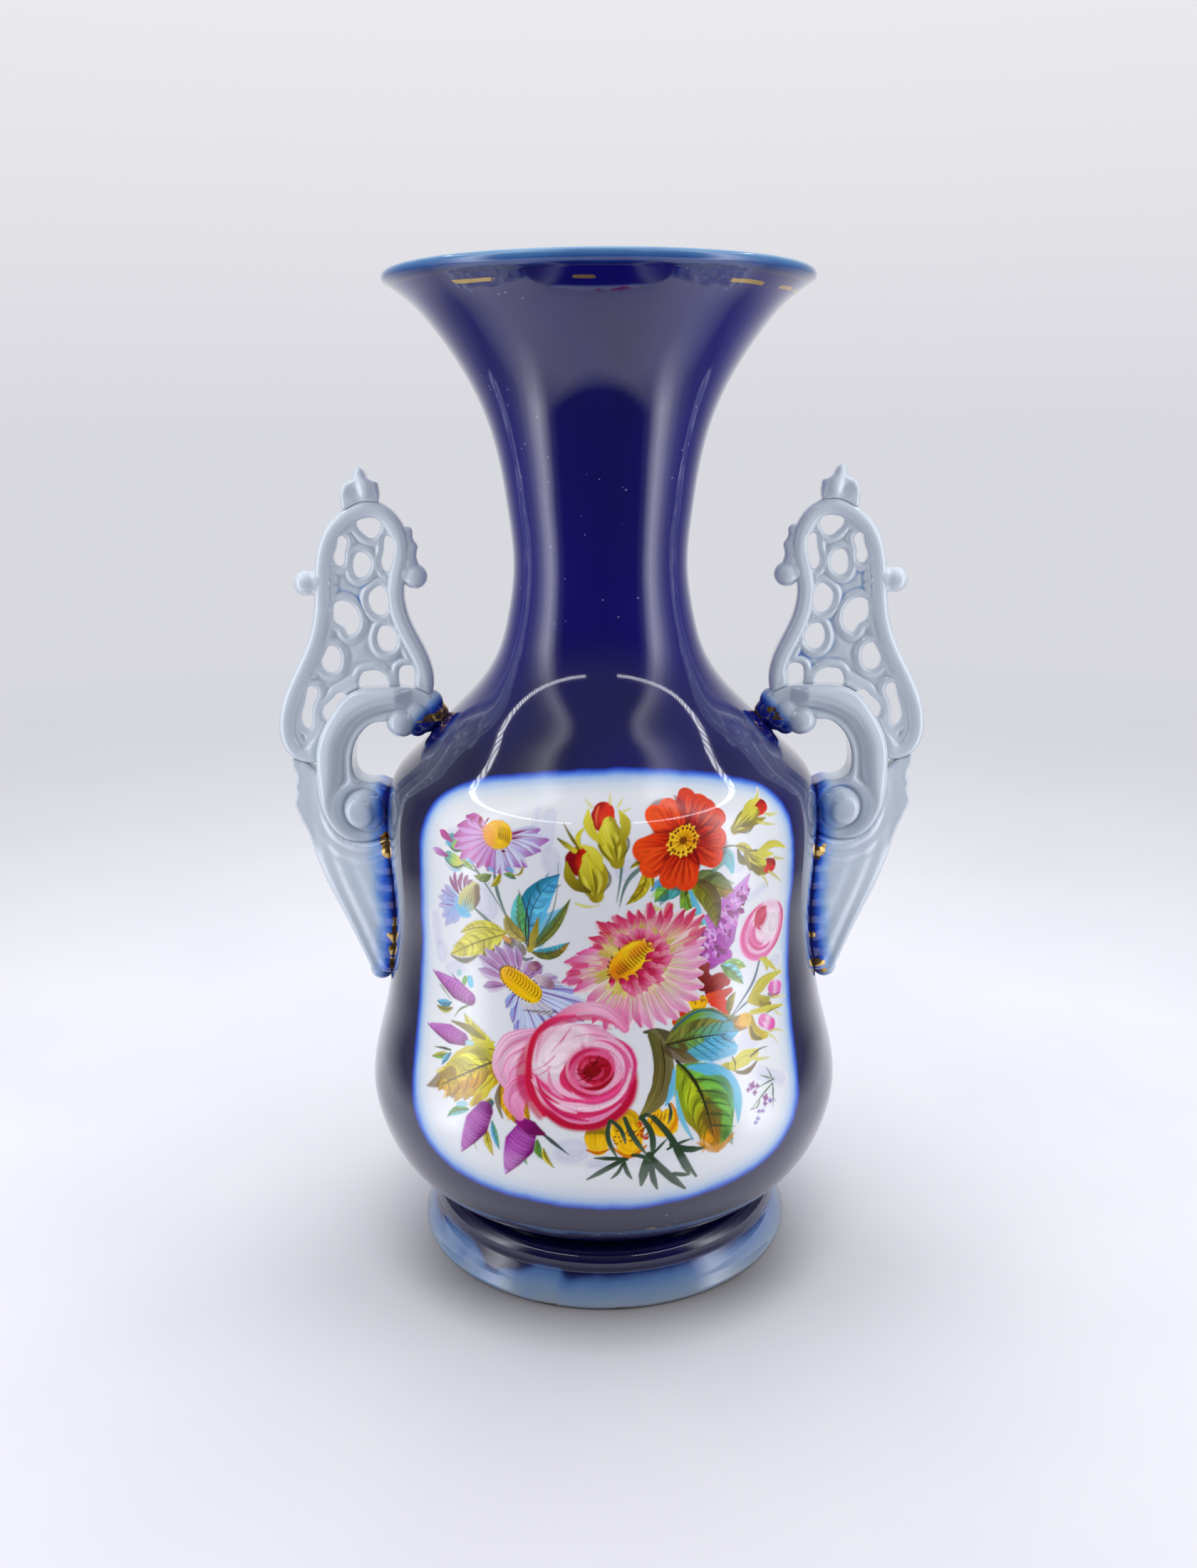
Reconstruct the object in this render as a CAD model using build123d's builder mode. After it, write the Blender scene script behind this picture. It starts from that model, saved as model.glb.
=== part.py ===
from build123d import *
import os

# Two-handled flower vase of glazed porcelain. The pot is cast in three turned sections, foot, body
# and neck, which register in one another. Each handle is a cluster of pressed pieces stuck on with
# slip: a pierced panel over a C-scroll, a leaf bracket below it, and small knobs, ears and a crest.
# Origin: centre of the foot on the table. +Z is up, +X runs through the right handle. Millimetres.

os.makedirs("parts", exist_ok=True)

# ---- Driving dimensions: the pot ------------------------------------------------------------
vase_height = 400.0        # table to the top of the lip
lip_radius = 82.9          # widest point of the rolled lip
lip_thickness = 4.4        # height of the rolled lip
neck_radius = 35.3         # narrowest outside radius
neck_height = 290.0        # height of that narrowest point
shoulder_radius = 90.1     # corner between the sides and the shoulder
shoulder_height = 186.0
waist_radius = 88.5        # slight hollow in the sides
waist_height = 145.0
belly_radius = 100.6
belly_height = 71.0
tuck_radius = 70.8         # where the belly turns in to meet the foot
foot_height = 25.0
foot_radius = 80.7         # thin outer lip of the foot skirt
collar_radius = 75.5       # rounded moulding above the skirt
wall = 5.0                 # thickness of neck and body walls
floor_thickness = 7.0      # bottom of the vessel

# ---- Joints between the three sections ------------------------------------------------------
seam_drop = 34.0           # the neck meets the body this far below its narrowest point
rabbet_depth = 4.0         # step of the neck that drops into the body
rabbet_width = 2.5         # ledge of body wall left outside that step
register_radius = 57.0     # round boss under the body that centres the foot
register_depth = 3.0
slip_gap = 0.15            # film of slip around a register
foot_bore = 60.0           # radius of the hollow under the body
rest_inner_radius = 71.0   # inner edge of the ring that rests on the table
rest_outer_radius = 79.2

# ---- Driving dimensions: the handles --------------------------------------------------------
volute_reach = 11.2        # centre of the scroll's eye, out from the shoulder corner
volute_rise = 2.0          # and above it
panel_depth = 8.6          # pierced panel, front to back
panel_strap = 6.2          # rounded strap around the panel
scroll_margin = 1.6        # plain band of the panel along the back of the scroll
panel_recess = 1.3         # lattice lies this much below the strap, front and back
scroll_depth = 17.0        # C-scroll, front to back
eye_radius = 6.2           # raised eye at the centre of the scroll
eye_rise = 1.6
bracket_depth = 27.0       # leaf bracket, front to back, where it meets the body
bracket_edge = 8.0         # and at its outer edge
crest_depth = 8.0
ear_depth = 10.0
bead_radius = 3.1          # beads above the inner ear
root_top = 40.0            # root on the shoulder, measured up from the scroll's eye
root_bottom = 27.5
tail_radius = 5.0          # knob under the bracket
root_depth = 4.0           # handle pieces run this far into the wall before they are fitted to it
soften = 2.2               # rounding of pressed edges
fitting_depth = 40.0       # fitting forms run this far to each side of the handles' plane

eye_x = shoulder_radius + volute_reach
eye_z = shoulder_height + volute_rise
seam_height = neck_height - seam_drop
floor_height = foot_height + floor_thickness


# ---- Outside and inside curves of the pot ---------------------------------------------------
def between(start, end, share):
    return start + (end - start) * share


def level(low, high, small, large, shares):
    """Stations between two named sizes, as (share of the radius, share of the height) pairs."""
    return [(between(small, large, r), between(low, high, h)) for r, h in shares]


lower_belly = level(foot_height, belly_height, tuck_radius, belly_radius,
                    [(0.0, 0.0), (0.31, 0.14), (0.73, 0.435), (0.935, 0.75)])
sides = [
    (belly_radius, belly_height),
    (between(belly_radius, waist_radius, 0.36), between(belly_height, waist_height, 0.325)),
    (between(belly_radius, waist_radius, 0.86), between(belly_height, waist_height, 0.73)),
    (waist_radius, waist_height),
    (shoulder_radius, shoulder_height),
]
shoulder = level(neck_height, shoulder_height, neck_radius, shoulder_radius,
                 [(0.925, 0.817), (0.755, 0.721), (0.489, 0.577), (0.17, 0.385), (0.046, 0.192)])
flare = level(neck_height, vase_height, neck_radius, lip_radius,
              [(0.0, 0.0), (0.035, 0.182), (0.1, 0.364), (0.225, 0.545), (0.386, 0.682), (0.607, 0.82),
               (0.775, 0.9)])
lip_start = (lip_radius - 1.7, vase_height - lip_thickness)
outside_points = [*lower_belly, *sides, *shoulder, *flare, lip_start]
outside = Spline(*outside_points)      # drawn flat: X is the radius, Y the height


def share_at(curve, height):
    """Where along a rising curve it reaches a height, as a share of its length."""
    low, high = 0.0, 1.0
    for _ in range(50):
        middle = (low + high) / 2
        if curve.position_at(middle).Y < height:
            low = middle
        else:
            high = middle
    return (low + high) / 2


def radius_at(curve, height):
    return curve.position_at(share_at(curve, height)).X


def stretch(curve, low, high):
    """The stretch of a rising curve between two heights."""
    return curve.trim(share_at(curve, low), share_at(curve, high))


def inset_along(curve, depth, shares):
    """Points a depth to the left of a flat curve, at shares of its length."""
    points = []
    for share in shares:
        on_curve = curve.position_at(share)
        along = curve.tangent_at(share)
        points.append((on_curve.X - depth * along.Y, on_curve.Y + depth * along.X))
    return points


inside_stations = 22
inside_first = share_at(outside, floor_height + wall)
inside_shares = [between(inside_first, 1, step / inside_stations) for step in range(inside_stations)]
inside_points = inset_along(outside, wall, inside_shares)
floor_radius = inside_points[0][0] - wall
inside_end = (lip_radius - wall, vase_height - lip_thickness / 2)
inside = Spline((floor_radius, floor_height), *inside_points, inside_end)

seam_radius = radius_at(outside, seam_height)
spigot_radius = seam_radius - rabbet_width
spigot_base = seam_height - rabbet_depth


# ---- Foot: a hollow ring with a flared skirt, a collar and a flat seat for the body ----------
with BuildPart() as foot:
    with BuildSketch(Plane.XZ):
        with BuildLine():
            skirt = Spline(
                (rest_outer_radius, 0),
                (foot_radius, 1.6),
                (foot_radius - 1.1, 4.0),
                (between(foot_radius, collar_radius, 0.6), 9.0),
                (collar_radius - 0.5, 13.6),
            )
            collar = ThreePointArc(skirt @ 1, (collar_radius, 17.0), (collar_radius - 1.8, 20.6))
            tuck = Spline(collar @ 1, (tuck_radius + 0.9, 22.4), (tuck_radius, foot_height))
            Polyline(
                tuck @ 1,
                (register_radius, foot_height),
                (register_radius, foot_height - register_depth - slip_gap),
                (foot_bore, foot_height - register_depth - slip_gap - wall),
                (rest_inner_radius, 3.0),
                (rest_inner_radius + 1.5, 0),
                skirt @ 0,
            )
        make_face()
    revolve(axis=Axis.Z)

# ---- Body: belly, hollow waist and shoulder, closed by the floor -----------------------------
body_outside = stretch(outside, foot_height, seam_height)
body_inside = stretch(inside, floor_height, spigot_base)
with BuildPart() as body:
    with BuildSketch(Plane.XZ):
        with BuildLine():
            add(body_outside)
            Polyline(
                body_outside @ 1,
                (spigot_radius, seam_height),
                (spigot_radius, spigot_base),
                body_inside @ 1,
            )
            add(body_inside)
            Polyline(
                body_inside @ 0,
                (0, floor_height),
                (0, foot_height - register_depth),
                (register_radius - slip_gap, foot_height - register_depth),
                (register_radius - slip_gap, foot_height),
                body_outside @ 0,
            )
        make_face()
    revolve(axis=Axis.Z)

# ---- Neck: a trumpet with a rolled lip, standing in the rabbet of the body -------------------
neck_outside = stretch(outside, seam_height, vase_height - lip_thickness)
neck_inside = stretch(inside, spigot_base, vase_height - lip_thickness / 2)
with BuildPart() as neck:
    with BuildSketch(Plane.XZ):
        with BuildLine():
            add(neck_outside)
            roll = ThreePointArc(
                neck_outside @ 1,
                (lip_radius, vase_height - lip_thickness / 2),
                (lip_radius - lip_thickness / 2, vase_height),
            )
            TangentArc(roll @ 1, neck_inside @ 1, tangent=roll % 1)
            add(neck_inside)
            Polyline(
                neck_inside @ 0,
                (spigot_radius - slip_gap, spigot_base),
                (spigot_radius - slip_gap, seam_height),
                neck_outside @ 0,
            )
        make_face()
    revolve(axis=Axis.Z)

# The whole outside of the pot as one solid, to fit the handle pieces against.
with BuildPart() as pot_form:
    with BuildSketch(Plane.XZ):
        with BuildLine():
            add(outside)
            Polyline(outside @ 1, (0, vase_height - lip_thickness), (0, foot_height), outside @ 0)
        make_face()
    revolve(axis=Axis.Z)


# ---- Handles -------------------------------------------------------------------------------
# Outlines are drawn in the plane through both handles, as (out, up) from the scroll's eye.
def from_eye(points):
    return [(eye_x + out, eye_z + up) for out, up in points]


panel_edge = from_eye([
    (17.0, 20.3), (22.7, 20.0), (28.2, 22.5), (31.7, 28.0), (32.7, 35.0), (31.8, 42.0), (28.2, 52.0),
    (19.2, 70.0), (15.4, 84.0), (14.2, 100.0), (8.2, 117.5), (-0.8, 125.0), (-8.3, 127.5),
    (-16.3, 125.0), (-22.8, 116.5), (-24.2, 105.0), (-21.7, 92.0), (-23.8, 79.0), (-30.3, 65.0),
    (-32.4, 56.0), (-31.3, 48.0),
])
scroll_back = from_eye([
    (-31.3, 48.0), (-23.3, 51.3), (-11.3, 52.0), (-2.3, 51.3), (3.7, 48.3), (8.7, 42.7), (13.7, 34.5),
    (16.3, 27.0), (17.0, 20.3),
])
scroll_inside = from_eye([
    (-31.3, 48.0), (-28.5, 43.4), (-23.3, 41.8), (-17.3, 41.3), (-13.3, 38.7), (-8.3, 38.2),
    (-3.3, 35.4), (0.7, 30.0), (2.8, 21.5), (1.3, 14.5), (-2.3, 12.4), (-8.0, 12.4),
])
scroll_outside = from_eye([
    (17.0, 20.3), (16.7, 8.0), (13.6, -4.0), (7.0, -11.7), (-1.3, -13.5), (-9.0, -11.5),
])
bracket_outside = from_eye([
    (26.6, 24.0), (26.4, 15.5), (26.0, 14.0), (27.2, 10.5), (26.6, 7.5), (27.6, 4.0), (26.8, -1.0),
    (23.7, -8.0), (20.2, -19.5), (14.7, -34.0), (8.0, -47.5), (2.0, -60.0), (-2.5, -70.0),
])
crest_edge = from_eye([
    (1.4, 122.0), (2.0, 129.0), (0.6, 133.2), (-2.6, 135.4), (-3.7, 138.4), (-5.3, 140.3),
    (-7.0, 139.2), (-8.4, 136.2), (-10.6, 134.6), (-12.4, 134.2), (-13.0, 130.0), (-12.2, 122.0),
])
panel_openings = [
    [(-3.5, 118.5), (-8.3, 120.3), (-13.3, 118.8), (-12.8, 115.3), (-9.8, 112.4), (-5.8, 114.5)],
    [(2.0, 113.3), (0.4, 111.3), (1.7, 107.0), (2.1, 102.6), (4.3, 101.3), (6.4, 103.5), (5.0, 108.5)],
    [(-4.5, 106.9), (-8.0, 105.0), (-8.5, 101.0), (-6.3, 97.6), (-2.8, 97.0), (-1.3, 100.0),
     (-1.9, 104.3)],
    [(-16.3, 113.3), (-18.7, 111.0), (-18.3, 106.5), (-16.7, 101.0), (-14.7, 98.9), (-13.0, 101.3),
     (-14.1, 108.0)],
    [(6.2, 86.8), (2.2, 87.2), (-1.3, 84.5), (-3.0, 79.5), (-1.3, 75.0), (2.1, 73.3), (3.7, 76.5),
     (7.2, 78.8), (7.7, 83.0)],
    [(-12.8, 93.2), (-14.4, 91.0), (-14.8, 84.5), (-12.8, 81.7), (-9.8, 82.0), (-7.3, 89.8),
     (-9.3, 92.0)],
    [(-12.8, 77.2), (-16.7, 75.5), (-18.0, 71.5), (-16.0, 67.3), (-12.0, 67.0), (-9.7, 71.0),
     (-10.5, 75.0)],
    [(9.0, 69.1), (5.9, 66.5), (5.9, 61.5), (7.7, 58.5), (11.7, 58.5), (13.7, 61.3), (11.7, 66.5)],
    [(17.7, 52.3), (15.9, 50.5), (18.0, 44.5), (18.7, 38.0), (20.2, 34.3), (22.6, 35.5), (22.9, 41.0),
     (21.0, 47.5)],
    [(5.7, 49.6), (3.7, 48.0), (6.2, 44.5), (10.7, 39.0), (13.4, 37.5), (14.7, 40.5), (12.2, 45.0),
     (8.7, 48.3)],
    [(-6.8, 58.7), (-10.3, 58.2), (-13.0, 55.5), (-12.8, 50.0), (-7.3, 49.0), (-1.8, 50.0),
     (-1.8, 55.5), (-3.8, 58.3)],
    [(-21.3, 60.8), (-24.1, 60.0), (-24.4, 56.0), (-23.1, 50.0), (-19.8, 50.0), (-18.0, 55.5),
     (-18.6, 59.5)],
]


panel_curve = Spline(*panel_edge)
back_curve = Spline(*scroll_back)
field_edge = inset_along(panel_curve, panel_strap, [0.05 + 0.9 * step / 19 for step in range(20)])
field_edge += inset_along(back_curve, scroll_margin, [0.1, 0.3, 0.5, 0.7, 0.84])

# Each outline as one face, for cutting the piece and for fitting its neighbours against it.
with BuildSketch(Plane.XZ) as panel_outline:
    with BuildLine():
        add(panel_curve)
        add(back_curve)
    make_face()

with BuildSketch(Plane.XZ) as scroll_outline:
    with BuildLine():
        add(back_curve)
        front = Spline(*scroll_inside)
        lower = Spline(*scroll_outside)
        root_x = radius_at(outside, eye_z) - root_depth
        Polyline(front @ 1, (root_x, eye_z + 9), (root_x, eye_z - 9), lower @ 1)
    make_face()

with BuildPart() as panel_form:
    extrude(panel_outline.sketch, amount=fitting_depth, both=True)

with BuildPart() as scroll_form:
    extrude(scroll_outline.sketch, amount=fitting_depth, both=True)


# Pierced panel: a rounded strap round the edge, and a thinner lattice set back inside it.
with BuildPart() as panel:
    extrude(panel_outline.sketch, amount=panel_depth / 2, both=True)
    fillet(panel.edges().filter_by(Plane.XZ), radius=soften)
    with BuildSketch(Plane.XZ) as field:
        with BuildLine():
            Spline(*field_edge, periodic=True)
        make_face()
    extrude(field.sketch, amount=panel_depth, both=True, mode=Mode.SUBTRACT)
    extrude(field.sketch, amount=panel_depth / 2 - panel_recess, both=True)
    with BuildSketch(Plane.XZ) as piercing:
        for opening in panel_openings:
            with BuildLine():
                Spline(*from_eye(opening), periodic=True)
            make_face()
    extrude(piercing.sketch, amount=panel_depth, both=True, mode=Mode.SUBTRACT)

# C-scroll: a rolled arch over the finger opening that coils into a volute with a raised eye.
with BuildPart() as scroll:
    extrude(scroll_outline.sketch, amount=scroll_depth / 2, both=True)
    fillet(scroll.edges().filter_by(Plane.XZ), radius=soften)
    add(panel_form.part, mode=Mode.SUBTRACT)
    add(pot_form.part, mode=Mode.SUBTRACT)
    with BuildSketch(Plane.XZ) as eye:
        with Locations((eye_x, eye_z)):
            Circle(eye_radius)
    extrude(eye.sketch, amount=scroll_depth / 2 + eye_rise, both=True)
    fillet(scroll.faces().filter_by(Plane.XZ).sort_by(Axis.Y)[0].edges(), radius=eye_rise * 0.9)
    fillet(scroll.faces().filter_by(Plane.XZ).sort_by(Axis.Y)[-1].edges(), radius=eye_rise * 0.9)

# Leaf bracket: wide where it lies on the body, narrowing to a notched outer edge.
with BuildPart() as bracket:
    with BuildSketch(Plane.XZ) as bracket_outline:
        with BuildLine():
            leaf = Spline(*bracket_outside)
            Polyline(
                leaf @ 1,
                (radius_at(outside, (leaf @ 1).Y) - root_depth, (leaf @ 1).Y),
                (min(radius_at(outside, eye_z), waist_radius) - root_depth, eye_z),
                (eye_x, eye_z),
                leaf @ 0,
            )
        make_face()
    extrude(bracket_outline.sketch, amount=bracket_depth, both=True)
    with BuildSketch(Plane.XY) as bracket_plan:
        with BuildLine():
            Polyline(
                (0, bracket_depth / 2),
                (waist_radius, bracket_depth / 2),
                (eye_x + 20, bracket_edge / 2),
                (eye_x + 30, bracket_edge / 2),
                (eye_x + 30, -bracket_edge / 2),
                (eye_x + 20, -bracket_edge / 2),
                (waist_radius, -bracket_depth / 2),
                (0, -bracket_depth / 2),
                close=True,
            )
        make_face()
    extrude(bracket_plan.sketch, amount=vase_height, mode=Mode.INTERSECT)
    add(panel_form.part, mode=Mode.SUBTRACT)
    add(scroll_form.part, mode=Mode.SUBTRACT)
    add(pot_form.part, mode=Mode.SUBTRACT)

# Crest: a three-lobed leaf on top of the panel.
with BuildPart() as crest:
    with BuildSketch(Plane.XZ) as crest_outline:
        with BuildLine():
            Polyline(*crest_edge, close=True)
        make_face()
    extrude(crest_outline.sketch, amount=crest_depth / 2, both=True)
    chamfer(crest.edges().filter_by(Plane.XZ), length=soften / 2)
    add(panel_form.part, mode=Mode.SUBTRACT)

# Outer ear: a ball on a short stem at the outer side of the panel.
with BuildPart() as outer_ear:
    with Locations((eye_x + 18.0, 0, eye_z + 94.4)):
        Sphere(ear_depth / 2 + 0.5)
    with Locations((eye_x + 15.0, 0, eye_z + 95.0)):
        Cylinder(ear_depth / 2 - 0.3, 6.0, rotation=(0, 90, 0))
    add(panel_form.part, mode=Mode.SUBTRACT)

# Inner ear: a larger ball with two beads climbing the strap above it.
with BuildPart() as inner_ear:
    with Locations((eye_x - 26.6, 0, eye_z + 97.3)):
        Sphere(ear_depth / 2 + 0.4)
    with Locations((eye_x - 25.3, 0, eye_z + 105.6)):
        Sphere(bead_radius + 0.3)
    with Locations((eye_x - 24.9, 0, eye_z + 111.8)):
        Sphere(bead_radius)
    add(panel_form.part, mode=Mode.SUBTRACT)

# Shoulder knob: two lobes at the inner end of the scroll, on a root that stands on the shoulder.
with BuildPart() as shoulder_knob:
    with BuildSketch(Plane.XZ) as shoulder_root:
        with BuildLine():
            Polyline(
                (radius_at(outside, eye_z + root_top) - root_depth, eye_z + root_top - root_depth),
                *from_eye([(-32.5, 43.0), (-22.0, 42.0), (-18.0, 34.5)]),
                (radius_at(outside, eye_z + root_bottom), eye_z + root_bottom),
                (radius_at(outside, eye_z + root_bottom) - root_depth, eye_z + root_bottom - root_depth),
                close=True,
            )
        make_face()
    extrude(shoulder_root.sketch, amount=scroll_depth / 2 - soften, both=True)
    with Locations((eye_x - 20.6, 0, eye_z + 38.6)):
        Sphere(scroll_depth / 2 - soften)
    with Locations((eye_x - 30.9, 0, eye_z + 44.4)):
        Sphere(scroll_depth / 2 - 2 * soften)
    add(panel_form.part, mode=Mode.SUBTRACT)
    add(scroll_form.part, mode=Mode.SUBTRACT)
    add(pot_form.part, mode=Mode.SUBTRACT)

# Tail knob: the ball under the tip of the bracket, half sunk on to the body.
tail_z = eye_z - 72.4
with BuildPart() as tail_knob:
    with Locations((radius_at(outside, tail_z) + tail_radius * 0.95, 0, tail_z)):
        Sphere(tail_radius)
    add(bracket.part, mode=Mode.SUBTRACT)
    add(pot_form.part, mode=Mode.SUBTRACT)

handle_pieces = {
    "pierced_panel": panel,
    "c_scroll": scroll,
    "leaf_bracket": bracket,
    "crest": crest,
    "outer_ear": outer_ear,
    "inner_ear": inner_ear,
    "shoulder_knob": shoulder_knob,
    "tail_knob": tail_knob,
}


# ---- Files: one per piece; the left handle mirrors the right ----------------------------------
def write(piece, name):
    piece.part.label = name
    export_step(piece.part, f"parts/{name}.step")


for name, piece in (("foot", foot), ("body", body), ("neck", neck)):
    write(piece, name)
for name, piece in handle_pieces.items():
    write(piece, "right_" + name)
    with BuildPart() as mirrored:
        mirror(piece.part, about=Plane.YZ)
    write(mirrored, "left_" + name)
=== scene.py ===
"""Two-handled porcelain flower vase: cobalt ground, painted front panel, pierced pale-blue handles."""

import random
from math import atan2, cos, degrees, hypot, pi, radians, sin, tau

import bpy
import numpy as np
from bpy.props import FloatProperty, FloatVectorProperty, IntProperty, PointerProperty
from mathutils import Matrix, Vector, kdtree


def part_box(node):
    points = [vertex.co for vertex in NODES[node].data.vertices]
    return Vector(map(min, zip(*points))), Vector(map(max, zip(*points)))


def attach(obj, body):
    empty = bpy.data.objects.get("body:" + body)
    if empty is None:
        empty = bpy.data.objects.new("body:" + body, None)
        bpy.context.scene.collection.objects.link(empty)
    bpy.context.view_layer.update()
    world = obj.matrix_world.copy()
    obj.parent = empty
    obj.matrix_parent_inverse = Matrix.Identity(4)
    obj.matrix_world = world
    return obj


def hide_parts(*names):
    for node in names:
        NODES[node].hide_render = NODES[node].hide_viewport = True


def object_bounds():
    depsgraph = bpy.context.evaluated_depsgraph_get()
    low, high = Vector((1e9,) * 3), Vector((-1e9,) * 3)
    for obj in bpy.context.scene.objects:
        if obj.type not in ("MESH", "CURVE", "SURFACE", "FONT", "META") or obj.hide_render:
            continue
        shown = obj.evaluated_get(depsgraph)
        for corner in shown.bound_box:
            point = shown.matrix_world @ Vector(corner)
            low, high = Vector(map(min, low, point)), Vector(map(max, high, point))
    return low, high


bl_info = {
    "name": "Porcelain Flower Vase",
    "version": (1, 0, 0),
    "blender": (4, 5, 0),
    "location": "3D View > Sidebar > Vase",
    "description": "Glazes, models and paints a two-handled porcelain flower vase",
    "category": "Object",
}

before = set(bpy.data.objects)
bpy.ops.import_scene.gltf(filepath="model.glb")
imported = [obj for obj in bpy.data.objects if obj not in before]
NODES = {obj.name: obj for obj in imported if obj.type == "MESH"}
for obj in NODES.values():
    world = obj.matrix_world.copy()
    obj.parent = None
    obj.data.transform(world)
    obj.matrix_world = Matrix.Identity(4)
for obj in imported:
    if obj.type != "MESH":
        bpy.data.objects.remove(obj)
CAD_LOW, CAD_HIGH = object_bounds()
MM = 0.001


# ---------------------------------------------------------------- the pot's outside, read from the frame
def wall_radius(height):
    """Outside radius of the pot at a height: the mean of rays cast at the turned sections."""
    reach = CAD_HIGH.x * 2
    found = []
    for step in range(7):
        angle = radians(60 + 9.3 * step)
        outward = Vector((cos(angle), -sin(angle), 0))
        for node in ("neck", "body", "foot"):
            start = outward * reach + Vector((0, 0, height))
            hit, place, _, _ = NODES[node].ray_cast(start, -outward)
            if hit:
                found.append(hypot(place.x, place.y))
                break
    return sum(found) / len(found)


def path(text):
    """Points written out as "x,y x,y x,y"."""
    return [tuple(float(number) for number in pair.split(",")) for pair in text.split()]


def smooth_curve(points, count):
    """A natural cubic through the points, spaced evenly along its length."""
    p = np.array(points, float)
    t = np.concatenate([[0], np.cumsum(np.linalg.norm(np.diff(p, axis=0), axis=1))])
    n = len(p)
    h = np.diff(t)
    a = np.zeros((n, n))
    b = np.zeros((n, p.shape[1]))
    a[0, 0] = a[-1, -1] = 1
    for i in range(1, n - 1):
        a[i, i - 1 : i + 2] = h[i - 1], 2 * (h[i - 1] + h[i]), h[i]
        b[i] = 6 * ((p[i + 1] - p[i]) / h[i] - (p[i] - p[i - 1]) / h[i - 1])
    m = np.linalg.solve(a, b)

    def at(u):
        k = np.clip(np.searchsorted(t, u, side="right") - 1, 0, n - 2)
        x = (u - t[k])[:, None]
        w = h[k][:, None]
        slope = (p[k + 1] - p[k]) / w - w * (2 * m[k] + m[k + 1]) / 6
        return p[k] + slope * x + m[k] * x**2 / 2 + (m[k + 1] - m[k]) * x**3 / (6 * w)

    fine = at(np.linspace(0, t[-1], count * 8))
    length = np.concatenate([[0], np.cumsum(np.linalg.norm(np.diff(fine, axis=0), axis=1))])
    even = np.linspace(0, length[-1], count)
    return np.stack([np.interp(even, length, fine[:, c]) for c in range(p.shape[1])], 1)


FOOT_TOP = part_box("foot")[1].z
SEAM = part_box("body")[1].z
LIP_TOP = CAD_HIGH.z
LIP_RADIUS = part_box("neck")[1].x
STATION_HEIGHTS = [0.0001, 0.0025, 0.007, 0.02, 0.034, 0.046, 0.061, 0.079, 0.095, 0.12, 0.14, 0.161,
                   0.172, 0.18, 0.187, 0.1895, 0.204, 0.218, 0.231, 0.245, 0.265, 0.285, 0.305,
                   0.3252, 0.3403, 0.3552, 0.364, 0.3695]
pot_stations = [(wall_radius(FOOT_TOP + rise), FOOT_TOP + rise) for rise in STATION_HEIGHTS]
POT_CURVE = smooth_curve(pot_stations, 360)
FOOT_HEIGHTS = [0.0004, 0.0016, 0.003, 0.005, 0.007, 0.009, 0.011, 0.0128, 0.014, 0.0155, 0.017, 0.0185,
                0.0198, 0.0212, 0.0225, 0.0238, 0.0249]
FOOT_CURVE = smooth_curve([(wall_radius(height), height) for height in FOOT_HEIGHTS], 70)
POT_ARC = np.concatenate([[0], np.cumsum(np.linalg.norm(np.diff(POT_CURVE, axis=0), axis=1))])


def pot_radius(height):
    return np.interp(height, POT_CURVE[:, 1], POT_CURVE[:, 0])


# Places on the painted front are given in millimetres: across, on a 90 mm radius, and up, along the
# wall from the height where the sides begin.
PAINT_RADIUS = 0.09
PAINT_START = 0.11
arc_start = np.interp(PAINT_START, POT_CURVE[:, 1], POT_ARC)


def on_pot(across, up, lift=0.0):
    """Points on the wall, in metres, for places on the painted front, in millimetres."""
    across = np.asarray(across, float)
    arc = arc_start + np.asarray(up, float) * MM
    r = np.interp(arc, POT_ARC, POT_CURVE[:, 0])
    z = np.interp(arc, POT_ARC, POT_CURVE[:, 1])
    step = 0.0005
    dr = np.interp(arc + step, POT_ARC, POT_CURVE[:, 0]) - np.interp(arc - step, POT_ARC, POT_CURVE[:, 0])
    dz = np.interp(arc + step, POT_ARC, POT_CURVE[:, 1]) - np.interp(arc - step, POT_ARC, POT_CURVE[:, 1])
    run = np.hypot(dr, dz)
    r = r + lift * dz / run
    z = z - lift * dr / run
    turn = across * MM / PAINT_RADIUS
    return np.stack([r * np.sin(turn), -r * np.cos(turn), z], -1)


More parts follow.
